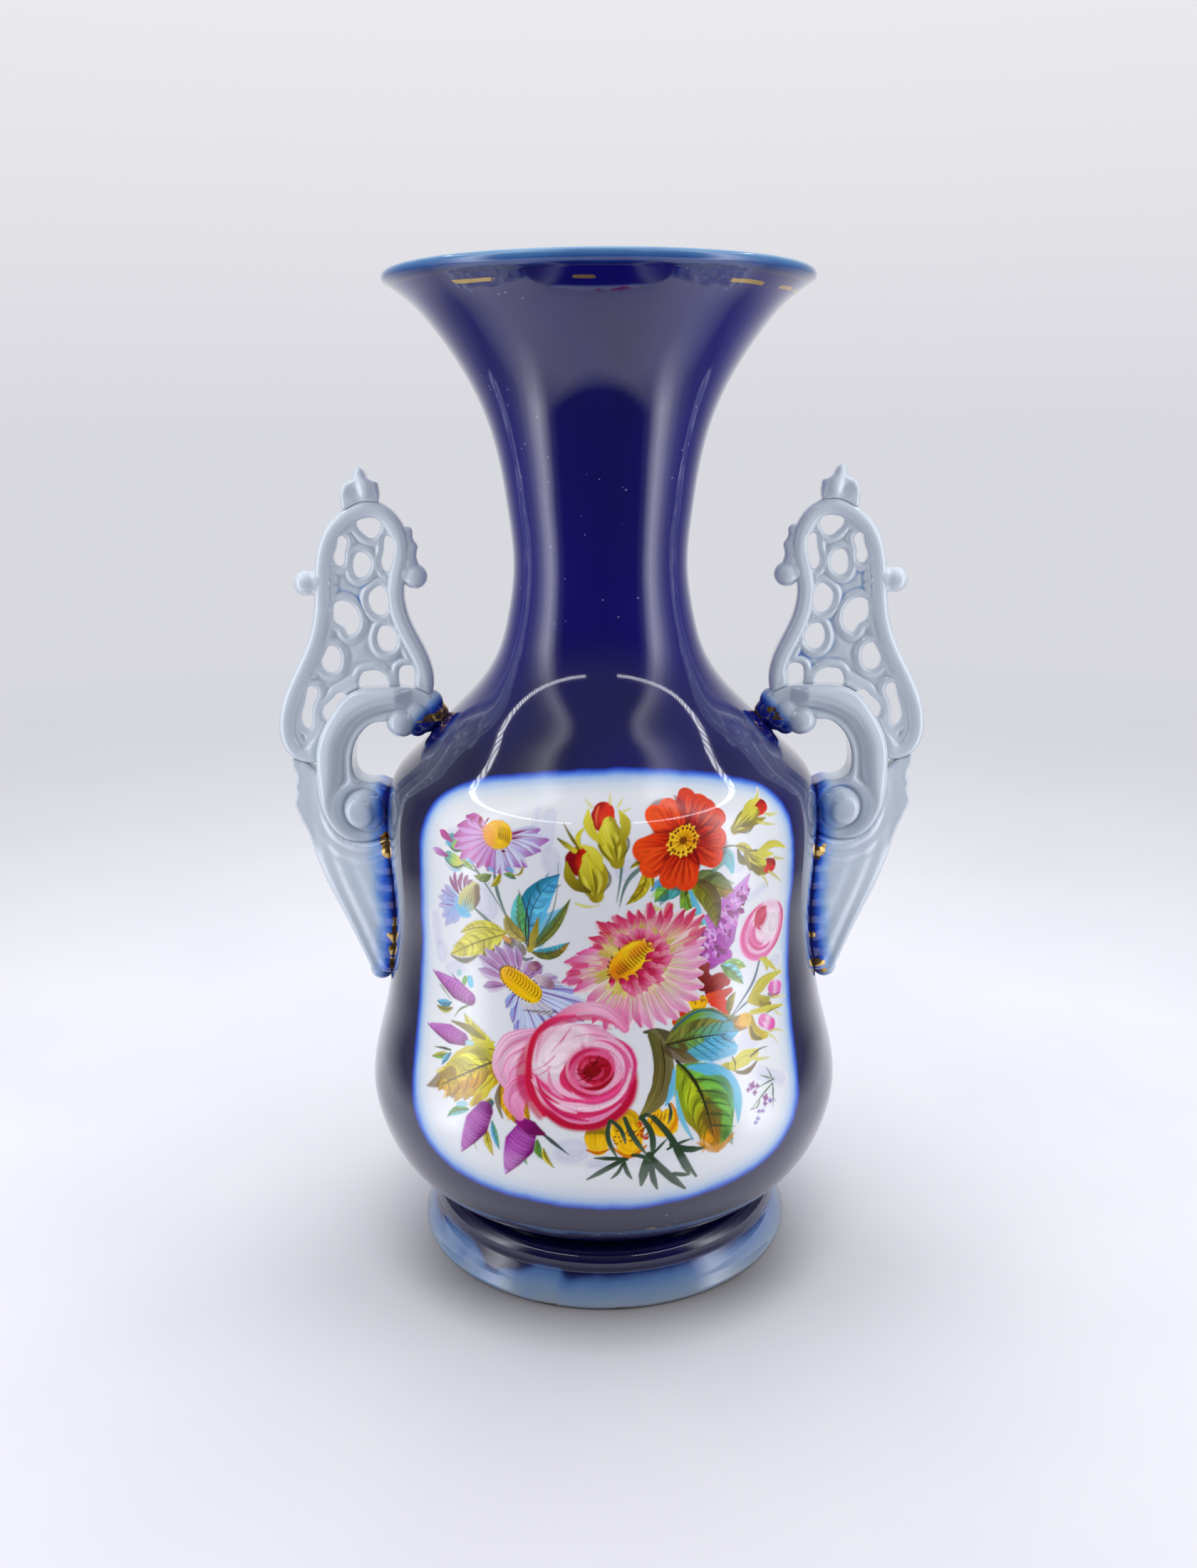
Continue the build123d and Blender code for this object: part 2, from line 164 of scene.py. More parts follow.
# ---------------------------------------------------------------- nodes for materials
class Shades:
    """Short calls that add the nodes of a new material, or of the world, and join them up."""

    def __init__(self, name, owner=None):
        self.owner = owner or bpy.data.materials.new(name)
        self.owner.use_nodes = True
        self.tree = self.owner.node_tree

    def add(self, kind, **inputs):
        node = self.tree.nodes.new("ShaderNode" + kind)
        for key, value in inputs.items():
            self.put(node.inputs[key.replace("_", " ")], value)
        return node

    def put(self, socket, value):
        if isinstance(value, bpy.types.NodeSocket):
            self.tree.links.new(value, socket)
        else:
            socket.default_value = value

    def finish(self, **values):
        """Values for the shader's own sockets, by name with underscores."""
        shader = self.tree.nodes["Principled BSDF"]
        for key, value in values.items():
            self.put(shader.inputs[key.replace("_", " ")], value)
        return self.owner

    def place(self):
        return self.add("TexCoord").outputs["Object"]

    def stored(self, name, kind="Fac"):
        node = self.add("Attribute")
        node.attribute_name = name
        return node.outputs[kind]

    def noise(self, scale, detail=2.0, stretch=None):
        source = self.place()
        if stretch:
            source = self.add("Mapping", Vector=source, Scale=stretch).outputs["Vector"]
        return self.add("TexNoise", Vector=source, Scale=scale, Detail=detail).outputs["Fac"]

    def spots(self, scale, size):
        """Small round spots: 1 inside a spot, 0 outside."""
        cells = self.add("TexVoronoi", Vector=self.place(), Scale=scale)
        return self.sum("LESS_THAN", cells.outputs["Distance"], size)

    def sum(self, kind, a, b=0.0, c=0.0):
        node = self.add("Math")
        node.operation = kind
        for socket, value in zip(node.inputs, (a, b, c)):
            self.put(socket, value)
        return node.outputs[0]

    def spread(self, value, low, high, to_low=0.0, to_high=1.0):
        node = self.add("MapRange")
        for socket, number in zip(node.inputs, (value, low, high, to_low, to_high)):
            self.put(socket, number)
        return node.outputs["Result"]

    def ramp(self, value, stops):
        node = self.add("ValToRGB", Fac=value)
        marks = node.color_ramp.elements
        marks[0].position, marks[0].color = stops[0][0], (*stops[0][1], 1)
        marks[1].position, marks[1].color = stops[-1][0], (*stops[-1][1], 1)
        for position, colour in stops[1:-1]:
            marks.new(position).color = (*colour, 1)
        return node.outputs["Color"]

    def blend(self, share, under, over, kind="MIX"):
        node = self.add("Mix")
        node.data_type = "RGBA"
        node.blend_type = kind
        self.put(node.inputs["Factor"], share)
        for socket, value in ((node.inputs[6], under), (node.inputs[7], over)):
            self.put(socket, value if isinstance(value, bpy.types.NodeSocket) else (*value, 1))
        return node.outputs[2]

    def axes(self):
        return self.add("SeparateXYZ", Vector=self.place()).outputs

    def vector(self, kind, a, b=(0, 0, 0)):
        node = self.add("VectorMath")
        node.operation = kind
        self.put(node.inputs[0], a)
        self.put(node.inputs[1], b)
        return node.outputs

    def gap(self, point, squash=(1, 1, 1)):
        """Distance from a point; squash makes it longer one way than another."""
        shift = self.vector("SUBTRACT", self.place(), point)[0]
        return self.vector("LENGTH", self.vector("MULTIPLY", shift, squash)[0])["Value"]

    def bump(self, height, distance, strength, **more):
        return self.add("Bump", Height=height, Distance=distance, Strength=strength, **more).outputs["Normal"]


def glossy(shades, colour, **more):
    """The shine that all the glazes share: a hard clear coat over a smooth ground."""
    rise = shades.bump(shades.noise(38.0, detail=1.0), 0.0009, 0.35)
    ripple = shades.bump(shades.noise(420.0), 0.00006, 0.25, Normal=rise)
    return shades.finish(Base_Color=colour, IOR=1.55, Coat_Weight=1.0, Coat_Roughness=0.025, Coat_IOR=1.55,
                         Normal=ripple,
                         **{"Roughness": settings().roughness, **more})


def gilded(shades, colour, gilt, rough=0.25):
    """The glaze again, with worn gold where gilt is 1."""
    return glossy(shades, shades.blend(gilt, colour, settings().gold), Metallic=gilt,
                  Roughness=shades.spread(gilt, 0.0, 1.0, 0.08, rough))


def settings():
    """The sizes and colours that the sidebar shows."""
    return bpy.context.scene.vase


def cobalt_ground(shades):
    """Near-black cobalt that thins to deep blue high on the pot, in soft upright clouds, with specks."""
    cloud = shades.noise(9.0, detail=3.0, stretch=(1.0, 1.0, 0.35))
    height = shades.spread(shades.axes()[2], 0.14, 0.27, -0.28, 0.12)
    ground = shades.ramp(shades.sum("ADD", cloud, height),
                         [(0.35, settings().cobalt_night), (0.7, settings().cobalt_deep)])
    speck = shades.sum("MULTIPLY", shades.spots(210.0, 0.085),
                       shades.sum("GREATER_THAN", shades.noise(17.0), 0.58))
    return shades.blend(speck, ground, (0.16, 0.18, 0.34))


def body_glaze():
    """Cobalt ground with the white reserve, whose edge bleeds blue into the white."""
    shades = Shades("body_glaze")
    feather = shades.spread(shades.noise(75.0, detail=3.0), 0.0, 1.0, -1.3, 1.3)
    inside = shades.sum("ADD", shades.stored("reserve"), feather)
    edge = shades.spread(inside, -2.0, 12.0)
    colour = shades.ramp(edge, [
        (0.08, (0, 0, 0)), (0.16, (0.010, 0.035, 0.42)), (0.22, (0.04, 0.13, 0.62)),
        (0.29, settings().cobalt_bleed),
        (0.40, (0.38, 0.54, 0.80)), (0.62, (0.64, 0.72, 0.82)), (0.95, settings().glaze_white),
    ])
    ground = cobalt_ground(shades)
    mixed = shades.blend(shades.spread(edge, 0.06, 0.15), ground, colour)
    gilt = 0.0
    for across, up, size in ((-4, -74, 0.0016), (7, -73.6, 0.0011), (18, -70, 0.0013), (24, -69, 0.0007),
                             (2, -74.4, 0.0006)):
        gilt = shades.sum("MAXIMUM", gilt,
                          shades.sum("LESS_THAN", shades.gap(on_pot(across, up), (0.55, 0.55, 2.0)), size))
    gilt = shades.sum("MULTIPLY", gilt, shades.sum("GREATER_THAN", shades.noise(620.0, detail=1.0), 0.46))
    return gilded(shades, mixed, gilt)


def neck_glaze():
    shades = Shades("neck_glaze")
    height = shades.axes()[2]
    wander = shades.spread(shades.noise(30.0), 0.0, 1.0, -0.0012, 0.0012)
    level = shades.sum("ADD", height, wander)
    lip = shades.ramp(shades.spread(level, LIP_TOP - 0.008, LIP_TOP), [
        (0.25, (0, 0, 0)), (0.42, (0.01, 0.03, 0.16)), (0.62, (0.03, 0.10, 0.32)),
        (0.82, (0.08, 0.22, 0.46)), (1.0, (0.30, 0.48, 0.66)),
    ])
    mixed = shades.blend(shades.spread(level, LIP_TOP - 0.006, LIP_TOP - 0.0045), cobalt_ground(shades), lip)
    band = shades.sum("MULTIPLY", shades.spread(level, LIP_TOP - 0.0092, LIP_TOP - 0.0088),
                      shades.spread(level, LIP_TOP - 0.0078, LIP_TOP - 0.0082))
    worn = shades.spread(shades.noise(55.0, detail=4.0), 0.50, 0.54)
    gilt = shades.sum("GREATER_THAN", shades.sum("MULTIPLY", band, worn), 0.4)
    return gilded(shades, mixed, gilt)


def foot_glaze():
    shades = Shades("foot_glaze")
    height = shades.axes()[2]
    run = shades.spread(shades.noise(30.0, detail=3.0), 0.35, 0.75, -0.0008, 0.0022)
    level = shades.sum("ADD", height, run)
    drips = shades.sum("MULTIPLY", shades.spread(shades.axes()[0], 0.005, -0.03),
                       shades.spread(shades.axes()[0], -0.078, -0.060))
    drips = shades.sum("MULTIPLY", drips, shades.spread(shades.noise(52.0, detail=1.0), 0.42, 0.58))
    level = shades.sum("MULTIPLY_ADD", drips, 0.0055, level)
    skirt = shades.ramp(shades.spread(level, 0.0, 0.016), [
        (0.0, (0.07, 0.045, 0.035)), (0.04, (0.10, 0.08, 0.08)), (0.09, (0.24, 0.29, 0.37)),
        (0.20, (0.22, 0.29, 0.40)),
        (0.48, (0.16, 0.26, 0.44)), (0.72, (0.08, 0.17, 0.38)), (0.88, (0.014, 0.035, 0.16)),
        (1.0, (0.004, 0.008, 0.05)),
    ])
    mixed = shades.blend(shades.spread(level, 0.0135, 0.0155), skirt, cobalt_ground(shades))
    return glossy(shades, mixed)


# ---------------------------------------------------------------- modelling helpers
def deselect():
    if bpy.context.object and bpy.context.object.mode != "OBJECT":
        bpy.ops.object.mode_set(mode="OBJECT")
    bpy.ops.object.select_all(action="DESELECT")


def turned(name, profile, steps):
    """A surface of revolution: the profile is drawn as a curve and screwed round Z."""
    deselect()
    bpy.ops.curve.primitive_bezier_curve_add(location=(0, 0, 0))
    piece = bpy.context.object
    piece.name = name
    piece.data.splines.clear()
    line = piece.data.splines.new("POLY")
    line.points.add(len(profile) - 1)
    for point, (r, z) in zip(line.points, profile):
        point.co = (r, 0, z, 1)
    bpy.ops.object.convert(target="MESH")
    piece = bpy.context.object
    screw = piece.modifiers.new("Turn", "SCREW")
    screw.steps = screw.render_steps = steps
    screw.use_merge_vertices = True
    screw.merge_threshold = 1e-6
    bpy.ops.object.modifier_apply(modifier=screw.name)
    bpy.ops.object.mode_set(mode="EDIT")
    bpy.ops.mesh.select_all(action="SELECT")
    bpy.ops.mesh.remove_doubles(threshold=1e-6)
    bpy.ops.mesh.normals_make_consistent(inside=False)
    bpy.ops.object.mode_set(mode="OBJECT")
    bpy.ops.object.shade_smooth_by_angle(angle=radians(40))
    return piece


def points_of(piece):
    co = np.zeros(len(piece.data.vertices) * 3, np.float32)
    piece.data.vertices.foreach_get("co", co)
    return co.reshape(-1, 3).astype(float)


def normals_of(piece):
    normals = np.zeros(len(piece.data.vertices) * 3, np.float32)
    piece.data.vertices.foreach_get("normal", normals)
    return normals.reshape(-1, 3)


def move_points(piece, co):
    piece.data.vertices.foreach_set("co", co.astype(np.float32).ravel())
    piece.data.update()


def store(piece, name, values):
    """One number for each point, for a material to read."""
    layer = piece.data.attributes.new(name, "FLOAT", "POINT")
    layer.data.foreach_set("value", np.asarray(values, np.float32))


def dress(piece, material, slot, *nodes):
    """Gives a finished piece its glaze and its body, and hides the nodes that it stands for."""
    piece.data.materials.clear()
    piece.data.materials.append(material)
    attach(piece, "root")
    if nodes:
        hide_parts(*nodes)
    return piece


# ---------------------------------------------------------------- pot
RESERVE_EDGE = path("0,118.8 20,118.8 42,115.8 60,111.5 72,106.5 80,99.5 84.5,90 87,78 88,60 88,38 "
                    "87.5,18 85.5,-5 82,-24 76,-35 66,-43.5 50,-49.5 25,-53.8 0,-54.8 -25,-53.2 -48,-49.5 "
                    "-64,-43 -74,-34 -80.5,-22 -84,-5 -85.5,18 -84,42 -81.5,65 -79,86 -74,100 -65,108 "
                    "-50,113 -25,117.2")


def closed_curve(points, count):
    """A smooth closed outline through the points."""
    loop = list(points[-3:]) + list(points) + list(points[:4])
    fine = smooth_curve(loop, count * 3)
    first = np.argmin(np.linalg.norm(fine - np.array(points[0]), axis=1)[: len(fine) // 2])
    rest = np.linalg.norm(fine[len(fine) // 2 :] - np.array(points[0]), axis=1)
    last = np.argmin(rest) + len(fine) // 2
    return fine[first:last]


def depth_inside(outline, x, y):
    """Distance in from a closed outline, below zero outside it."""
    a = outline
    b = np.roll(outline, -1, axis=0)
    nearest = np.full(x.shape, 1e9)
    crossings = np.zeros(x.shape, int)
    for (ax, ay), (bx, by) in zip(a, b):
        dx, dy = bx - ax, by - ay
        share = np.clip(((x - ax) * dx + (y - ay) * dy) / (dx * dx + dy * dy + 1e-12), 0, 1)
        nearest = np.minimum(nearest, np.hypot(x - ax - share * dx, y - ay - share * dy))
        if ay != by:
            spans = (ay > y) != (by > y)
            crossings += spans & (x < ax + (y - ay) * dx / dy)
    return np.where(crossings % 2 == 1, nearest, -nearest)


def inner_wall(shell):
    """The outline one wall's thickness inside another, from the bottom up."""
    slope = np.gradient(shell, axis=0)
    slope /= np.linalg.norm(slope, axis=1)[:, None]
    return shell - settings().wall * np.stack([slope[:, 1], -slope[:, 0]], 1)


def make_body():
    """The body, with the distance in from the edge of the white reserve stored on it."""
    shell = POT_CURVE[POT_CURVE[:, 1] < SEAM]
    shell = np.vstack([shell, [pot_radius(SEAM), SEAM]])
    inner = inner_wall(shell)
    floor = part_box("foot")[1].z + 0.007
    inner = inner[inner[:, 1] > floor + 0.002][::-6]
    profile = [*shell, *inner, (inner[-1][0] - 0.004, floor), (0, floor)]
    base = [(0, FOOT_TOP), (shell[0][0] - 0.002, FOOT_TOP)]
    piece = turned("body_shell", [*base, *profile], settings().steps_round)
    co = points_of(piece)
    turn = np.arctan2(co[:, 0], -co[:, 1])
    across = turn * PAINT_RADIUS / MM
    up = (np.interp(co[:, 2], POT_CURVE[:, 1], POT_ARC) - arc_start) / MM
    outer = np.hypot(co[:, 0], co[:, 1]) > pot_radius(co[:, 2]) - 0.002
    depth = np.full(len(co), -30.0)
    near = outer & (abs(across) < 110) & (up > -80) & (up < 140)
    depth[near] = depth_inside(closed_curve(RESERVE_EDGE, 90), across[near], up[near])
    store(piece, "reserve", np.clip(depth, -30, 30))
    return dress(piece, body_glaze(), "cobalt_glaze", "body")


def make_neck():
    """The neck, with its rolled lip."""
    shell = POT_CURVE[POT_CURVE[:, 1] > SEAM]
    shell = np.vstack([[pot_radius(SEAM), SEAM], shell])
    inner = inner_wall(shell)[::-4]
    roll = 0.0023
    centre = np.array([LIP_RADIUS - roll, LIP_TOP - roll])
    lip = [centre + roll * np.array([cos(a), sin(a)]) for a in np.radians(np.arange(-40, 186, 15))]
    inner = inner[inner[:, 1] < LIP_TOP - 0.006]
    piece = turned("neck_trumpet", [*shell, *lip, *inner, shell[0]], settings().steps_round)
    return dress(piece, neck_glaze(), "cobalt_glaze", "neck")


def make_foot():
    """The foot ring, hollow below."""
    shell = FOOT_CURVE
    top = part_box("foot")[1].z
    ring = [(0.0725, 0), (0.0788, 0)]
    under = [(shell[-1][0] - 0.001, top), (0.058, top), (0.060, 0.017), (0.071, 0.003)]
    piece = turned("foot_ring", [*ring, *shell, *under, ring[0]], settings().steps_round)
    return dress(piece, foot_glaze(), "cobalt_glaze", "foot")



# ---------------------------------------------------------------- handles
# Places on a handle are given in millimetres out and up from the eye of its volute.
EYE = Vector((pot_radius(0.186) + 0.0112, 0, 0.188))
PANEL_EDGE = path("17,20.3 22.7,20 28.2,22.5 31.7,28 32.7,35 31.8,42 28.2,52 19.2,70 15.4,84 14.2,100 "
                  "8.2,117.5 -0.8,125 -8.3,127.5 -16.3,125 -22.8,116.5 -24.2,105 -21.7,92 -23.8,79 "
                  "-30.3,65 -32.4,56 -31.3,48 -23.3,51.3 -11.3,52 -2.3,51.3 3.7,48.3 8.7,42.7 13.7,34.5 "
                  "16.3,27")
SCROLL_SPINE = path("-27,46.5 -20,46.5 -12,45.8 -5,43.8 1.5,39.8 6.5,33 9.2,25 9.8,16 10.6,7 8.5,-3 "
                    "3,-9.2 -4,-11.2 -9,-9.5")
BRACKET_EDGE = path("26.6,24 26.4,15.5 26,14 27.2,10.5 26.6,7.5 27.6,4 26.8,-1 23.7,-8 20.2,-19.5 "
                    "14.7,-34 8,-47.5 2,-60 -2.5,-70")


def rubbed(piece, voxel, rounds):
    """Remeshes the active piece evenly and rubs its edges down."""
    remesh = piece.modifiers.new("Even", "REMESH")
    remesh.mode = "VOXEL"
    remesh.voxel_size = voxel
    bpy.ops.object.modifier_apply(modifier=remesh.name)
    smooth = piece.modifiers.new("Rub", "SMOOTH")
    smooth.factor = 0.5
    smooth.iterations = max(1, round(rounds * settings().rubbing))
    bpy.ops.object.modifier_apply(modifier=smooth.name)
    bpy.ops.object.shade_smooth()


def softened(node, voxel, rounds):
    """A merged copy of a node, remeshed evenly and rubbed smooth as cast porcelain is."""
    deselect()
    source = NODES[node]
    piece = bpy.data.objects.new(node + "_glazed", source.data.copy())
    piece.matrix_world = source.matrix_world.copy()
    bpy.context.scene.collection.objects.link(piece)
    bpy.context.view_layer.objects.active = piece
    piece.select_set(True)
    bpy.ops.object.transform_apply()
    bpy.ops.object.mode_set(mode="EDIT")
    bpy.ops.mesh.select_all(action="SELECT")
    bpy.ops.mesh.remove_doubles(threshold=1e-6)
    bpy.ops.object.mode_set(mode="OBJECT")
    rubbed(piece, voxel, rounds)
    return piece


def fatten(piece, by):
    """Moves every point outward by the same amount, to win back what the rubbing took off."""
    move_points(piece, points_of(piece) + normals_of(piece) * by)


def lumps(name, balls, voxel, rounds):
    """Small balls pressed together and rubbed smooth: (out, depth, up, radius) from the eye, in mm."""
    deselect()
    made = []
    for out, depth, up, radius in balls:
        bpy.ops.mesh.primitive_uv_sphere_add(segments=32, ring_count=20, radius=radius * MM,
                                             location=EYE + Vector((out, depth, up)) * MM)
        made.append(bpy.context.object)
    for piece in made:
        piece.select_set(True)
    bpy.ops.object.join()
    piece = bpy.context.object
    piece.name = name
    bpy.ops.object.transform_apply()
    rubbed(piece, voxel, rounds)
    fatten(piece, 0.0003)
    return piece


def from_eye(co):
    return (co[:, 0] - EYE.x) / MM, (co[:, 2] - EYE.z) / MM


def swell(x, centre, width):
    return np.exp(-(((x - centre) / width) ** 2))


def nearest_on(line, x, y):
    """Distance to an open line, the share of its length there, and the side: 1 left, -1 right."""
    best = np.full(x.shape, 1e9)
    share = np.zeros(x.shape)
    side = np.ones(x.shape)
    steps = len(line) - 1
    for i, ((ax, ay), (bx, by)) in enumerate(zip(line[:-1], line[1:])):
        dx, dy = bx - ax, by - ay
        t = np.clip(((x - ax) * dx + (y - ay) * dy) / (dx * dx + dy * dy), 0, 1)
        gap = np.hypot(x - ax - t * dx, y - ay - t * dy)
        closer = gap < best
        best = np.where(closer, gap, best)
        share = np.where(closer, (i + t) / steps, share)
        side = np.where(closer, np.sign(dx * (y - ay) - dy * (x - ax)), side)
    return best, share, side


def raise_faces(piece, height, half):
    """Lifts the front and the back face of a handle piece; its side walls stay where they are."""
    co = points_of(piece)
    face = np.clip(abs(co[:, 1]) / (half * MM), 0, 1) ** 2
    co[:, 1] += np.sign(co[:, 1]) * face * height * MM
    move_points(piece, co)


def panel_relief(piece):
    """A round rim, and a raised roll round every opening with a furrow where two rolls meet."""
    out, up = from_eye(points_of(piece))
    rim = depth_inside(closed_curve(PANEL_EDGE, 110), out, up)
    mesh = NODES["right_pierced_panel"].data
    walls = []
    for face in mesh.polygons:
        if abs(face.normal.y) < 0.3:
            walls.extend(mesh.vertices[i].co.copy() for i in face.vertices)
    wall_out, wall_up = from_eye(np.array(walls))
    inner = depth_inside(closed_curve(PANEL_EDGE, 110), wall_out, wall_up) > 3.5
    tree = kdtree.KDTree(int(inner.sum()))
    for i, (a, b) in enumerate(zip(wall_out[inner], wall_up[inner])):
        tree.insert((a, b, 0), i)
    tree.balance()
    hole = np.array([tree.find((a, b, 0))[2] for a, b in zip(out, up)])
    field = np.clip((rim - 5.5) / 1.5, 0, 1)
    roll = 0.9 * swell(hole, 1.7, 1.0) - 0.9 * swell(hole, 4.2, 1.4) - 0.5
    raise_faces(piece, field * roll + (1 - field) * 0.5 * swell(rim, 3.0, 1.8), 3.4)


def scroll_relief(piece):
    """A bright bead along the back of the C, a hollow inside it, and the volute's dome and groove."""
    out, up = from_eye(points_of(piece))
    gap, share, side = nearest_on(smooth_curve(SCROLL_SPINE, 160), out, up)
    across = np.where(side > 0, gap, -gap) / 5.6
    strap = 0.9 * swell(across, 0.45, 0.45) - 3.2 * swell(across, -0.62, 0.42)
    dome = np.hypot(out + 2.2, up - 0.6)
    hollow = -3.0 * swell(dome, 9.4, 1.8) * np.clip(0.6 + 0.6 * (out + 2.2) / np.maximum(dome, 1), 0.15, 1)
    volute = 2.2 * np.sqrt(np.clip(1 - (dome / 8.6) ** 2, 0, 1)) + hollow
    radius = np.hypot(out, up)
    near = np.clip((14.5 - radius) / 3.0, 0, 1)
    along = np.clip(share / 0.10, 0, 1) * np.clip((0.84 - share) / 0.16, 0, 1)
    slab = np.clip((-17.0 - out) / 6.0, 0, 1) * np.clip((up - 27) / 3.0, 0, 1)
    raise_faces(piece, near * volute + (1 - near) * along * strap * (1 - slab) - 4.0 * slab, 8.5)


def bracket_relief(piece):
    """Soft folds that follow the free edge, arcs below the volute and scallops along the joint."""
    co = points_of(piece)
    out, up = from_eye(co)
    edge, share, _ = nearest_on(smooth_curve(BRACKET_EDGE, 120), out, up)
    radius = np.hypot(out, up)
    folds = 0.42 * np.cos(edge * tau / (5.0 + 0.12 * edge) + share * 5.0) * np.exp(-edge / 11)
    arcs = 0.5 * np.cos((radius - 15) * tau / 5.2) * swell(radius, 16, 6)
    gap = (np.hypot(co[:, 0], co[:, 1]) - pot_radius(co[:, 2])) / MM
    scallops = 0.5 * np.cos(up * tau / 7.5) * np.exp(-np.clip(gap, 0, 50) / 4)
    raise_faces(piece, folds + arcs + scallops, 9.0)


def crest_relief(piece):
    out, up = from_eye(points_of(piece))
    fan = np.arctan2(out + 8.3, up - 118)
    raise_faces(piece, 0.9 * np.cos(fan * 9.5) * np.clip((up - 126) / 5, 0, 1), 3.0)


def neighbour_means(values, edges, rounds):
    """Averages over joined points, repeated: a blur that follows the surface."""
    count = np.bincount(edges.ravel(), minlength=len(values)).astype(float)
    for _ in range(rounds):
        total = np.zeros_like(values)
        np.add.at(total, edges[:, 0], values[edges[:, 1]])
        np.add.at(total, edges[:, 1], values[edges[:, 0]])
        values = 0.5 * values + 0.5 * total / count[:, None]
    return values


def glaze_marks(piece):
    """How hollow each point of a handle piece is, for the blue glaze that pools there and for the painted shade
    in the hollows, and how far each point is from the pot.
    """
    co = points_of(piece)
    mesh = piece.data
    edges = np.zeros(len(mesh.edges) * 2, np.int32)
    mesh.edges.foreach_get("vertices", edges)
    soft = neighbour_means(co, edges.reshape(-1, 2), 14)
    hollow = np.einsum("ij,ij->i", soft - co, normals_of(piece)) / MM
    store(piece, "hollow", hollow)
    gap = (np.hypot(co[:, 0], co[:, 1]) - pot_radius(co[:, 2])) / MM
    if "shoulder_knob" in piece.name:
        gap = gap - 6.5 * np.clip((EYE.x - co[:, 0]) / MM - 21, 0, 4) / 4
    store(piece, "gap", gap)


def handle_glaze():
    """Pale blue-white glaze: blue pools in the hollows and runs at the joints, with worn gilding and painted grey
    shade in the hollows.
    """
    shades = Shades("handle_glaze")
    gap = shades.stored("gap")
    hollow = shades.stored("hollow")
    cloud = shades.noise(70.0, detail=3.0)
    patch = shades.noise(26.0, detail=1.0)
    height = shades.axes()[2]
    pooled = shades.sum("MULTIPLY", shades.spread(hollow, 0.10, 0.42), shades.spread(patch, 0.50, 0.70))
    joint = shades.sum("ADD", gap, shades.spread(cloud, 0.0, 1.0, -5.0, 5.0))
    run = shades.spread(joint, 13.0, 0.0)
    run = shades.sum("POWER", run, 2.2)
    tint = shades.spread(shades.sum("ADD", gap, shades.spread(patch, 0.0, 1.0, -16.0, 16.0)), 30.0, 0.0,
                         0.0, 0.16)
    blue = shades.sum("MAXIMUM", shades.sum("MULTIPLY", pooled, 0.8), run)
    blue = shades.sum("ADD", blue, tint)
    colour = shades.ramp(blue, [
        (0.0, settings().handle_white), (0.20, (0.52, 0.62, 0.76)), (0.42, (0.24, 0.42, 0.78)),
        (0.72, (0.03, 0.13, 0.66)), (1.0, (0.008, 0.018, 0.24)),
    ])
    # Painted shade: the hollows are darkened toward grey over the glaze's own colour.
    hollow_shade = shades.sum("MULTIPLY", shades.spread(hollow, 0.10, 0.5), 0.35)
    colour = shades.blend(hollow_shade, colour, (0.34, 0.36, 0.40))
    low = shades.sum("MULTIPLY", shades.spread(height, 0.118, 0.122), shades.spread(height, 0.146, 0.141))
    tail = shades.sum("MULTIPLY", shades.spread(height, 0.106, 0.108), shades.spread(height, 0.118, 0.115))
    mid = shades.sum("MULTIPLY", shades.spread(height, 0.155, 0.158), shades.spread(height, 0.186, 0.178))
    top = shades.spread(height, 0.222, 0.226)
    bands = shades.sum("MAXIMUM", low, tail)
    bands = shades.sum("MAXIMUM", bands, shades.sum("MULTIPLY", mid, 0.62))
    bands = shades.sum("MAXIMUM", bands, shades.sum("MULTIPLY", top, 0.55))
    ragged = shades.sum("ADD", gap, shades.spread(shades.noise(120.0, detail=3.0), 0.3, 0.7, 3.4, -3.4))
    leaf = shades.sum("MULTIPLY", shades.spread(ragged, 2.3, 1.9), bands)
    leaf = shades.sum("MULTIPLY", leaf, shades.spread(shades.noise(52.0, detail=3.0), 0.44, 0.47))
    gilt = shades.sum("GREATER_THAN", leaf, 0.5)
    return gilded(shades, colour, gilt, 0.28)


def mirrored(piece, name):
    """The other handle's copy of a piece, with its own mesh, turned over left to right."""
    deselect()
    piece.select_set(True)
    bpy.context.view_layer.objects.active = piece
    bpy.ops.object.duplicate()
    other = bpy.context.object
    other.name = name
    bpy.ops.transform.resize(value=(-1, 1, 1), center_override=(0, 0, 0))
    bpy.ops.object.transform_apply()
    bpy.ops.object.mode_set(mode="EDIT")
    bpy.ops.mesh.select_all(action="SELECT")
    bpy.ops.mesh.normals_make_consistent(inside=False)
    bpy.ops.object.mode_set(mode="OBJECT")
    return other


CASTS = {
    "pierced_panel": (0.00062, 9, 0.0, panel_relief),
    "c_scroll": (0.0007, 9, 0.0004, scroll_relief),
    "leaf_bracket": (0.0008, 7, 0.0003, bracket_relief),
    "crest": (0.0005, 5, 0.0004, crest_relief),
    "tail_knob": (0.0005, 7, 0.0002, None),
}
LUMPS = {
    "outer_ear": ((18.2, 0, 94.4, 4.9), (14.6, 0, 94.6, 4.2), (12.6, 0, 95.4, 4.6), (12.8, 0, 92.8, 4.2)),
    "inner_ear": ((-26.0, 0, 97.0, 4.9), (-22.2, 0, 98.4, 4.3), (-23.6, 0, 102.4, 3.7), (-23.4, 0, 106.4, 3.5),
                  (-24.6, 0, 108.6, 2.8), (-22.6, 0, 111.4, 3.2), (-23.4, 0, 114.6, 2.3)),
    "shoulder_knob": ((-18.6, -3.4, 37.6, 6.2), (-18.6, 3.4, 37.6, 6.2), (-24.6, -1.6, 41.0, 5.6),
                      (-24.6, 1.6, 41.0, 5.6), (-30.6, 0, 45.4, 4.8), (-28.0, 0, 37.6, 5.2),
                      (-24.4, 0, 35.4, 4.6),
                      (-33.0, 0, 40.6, 4.6)),
}


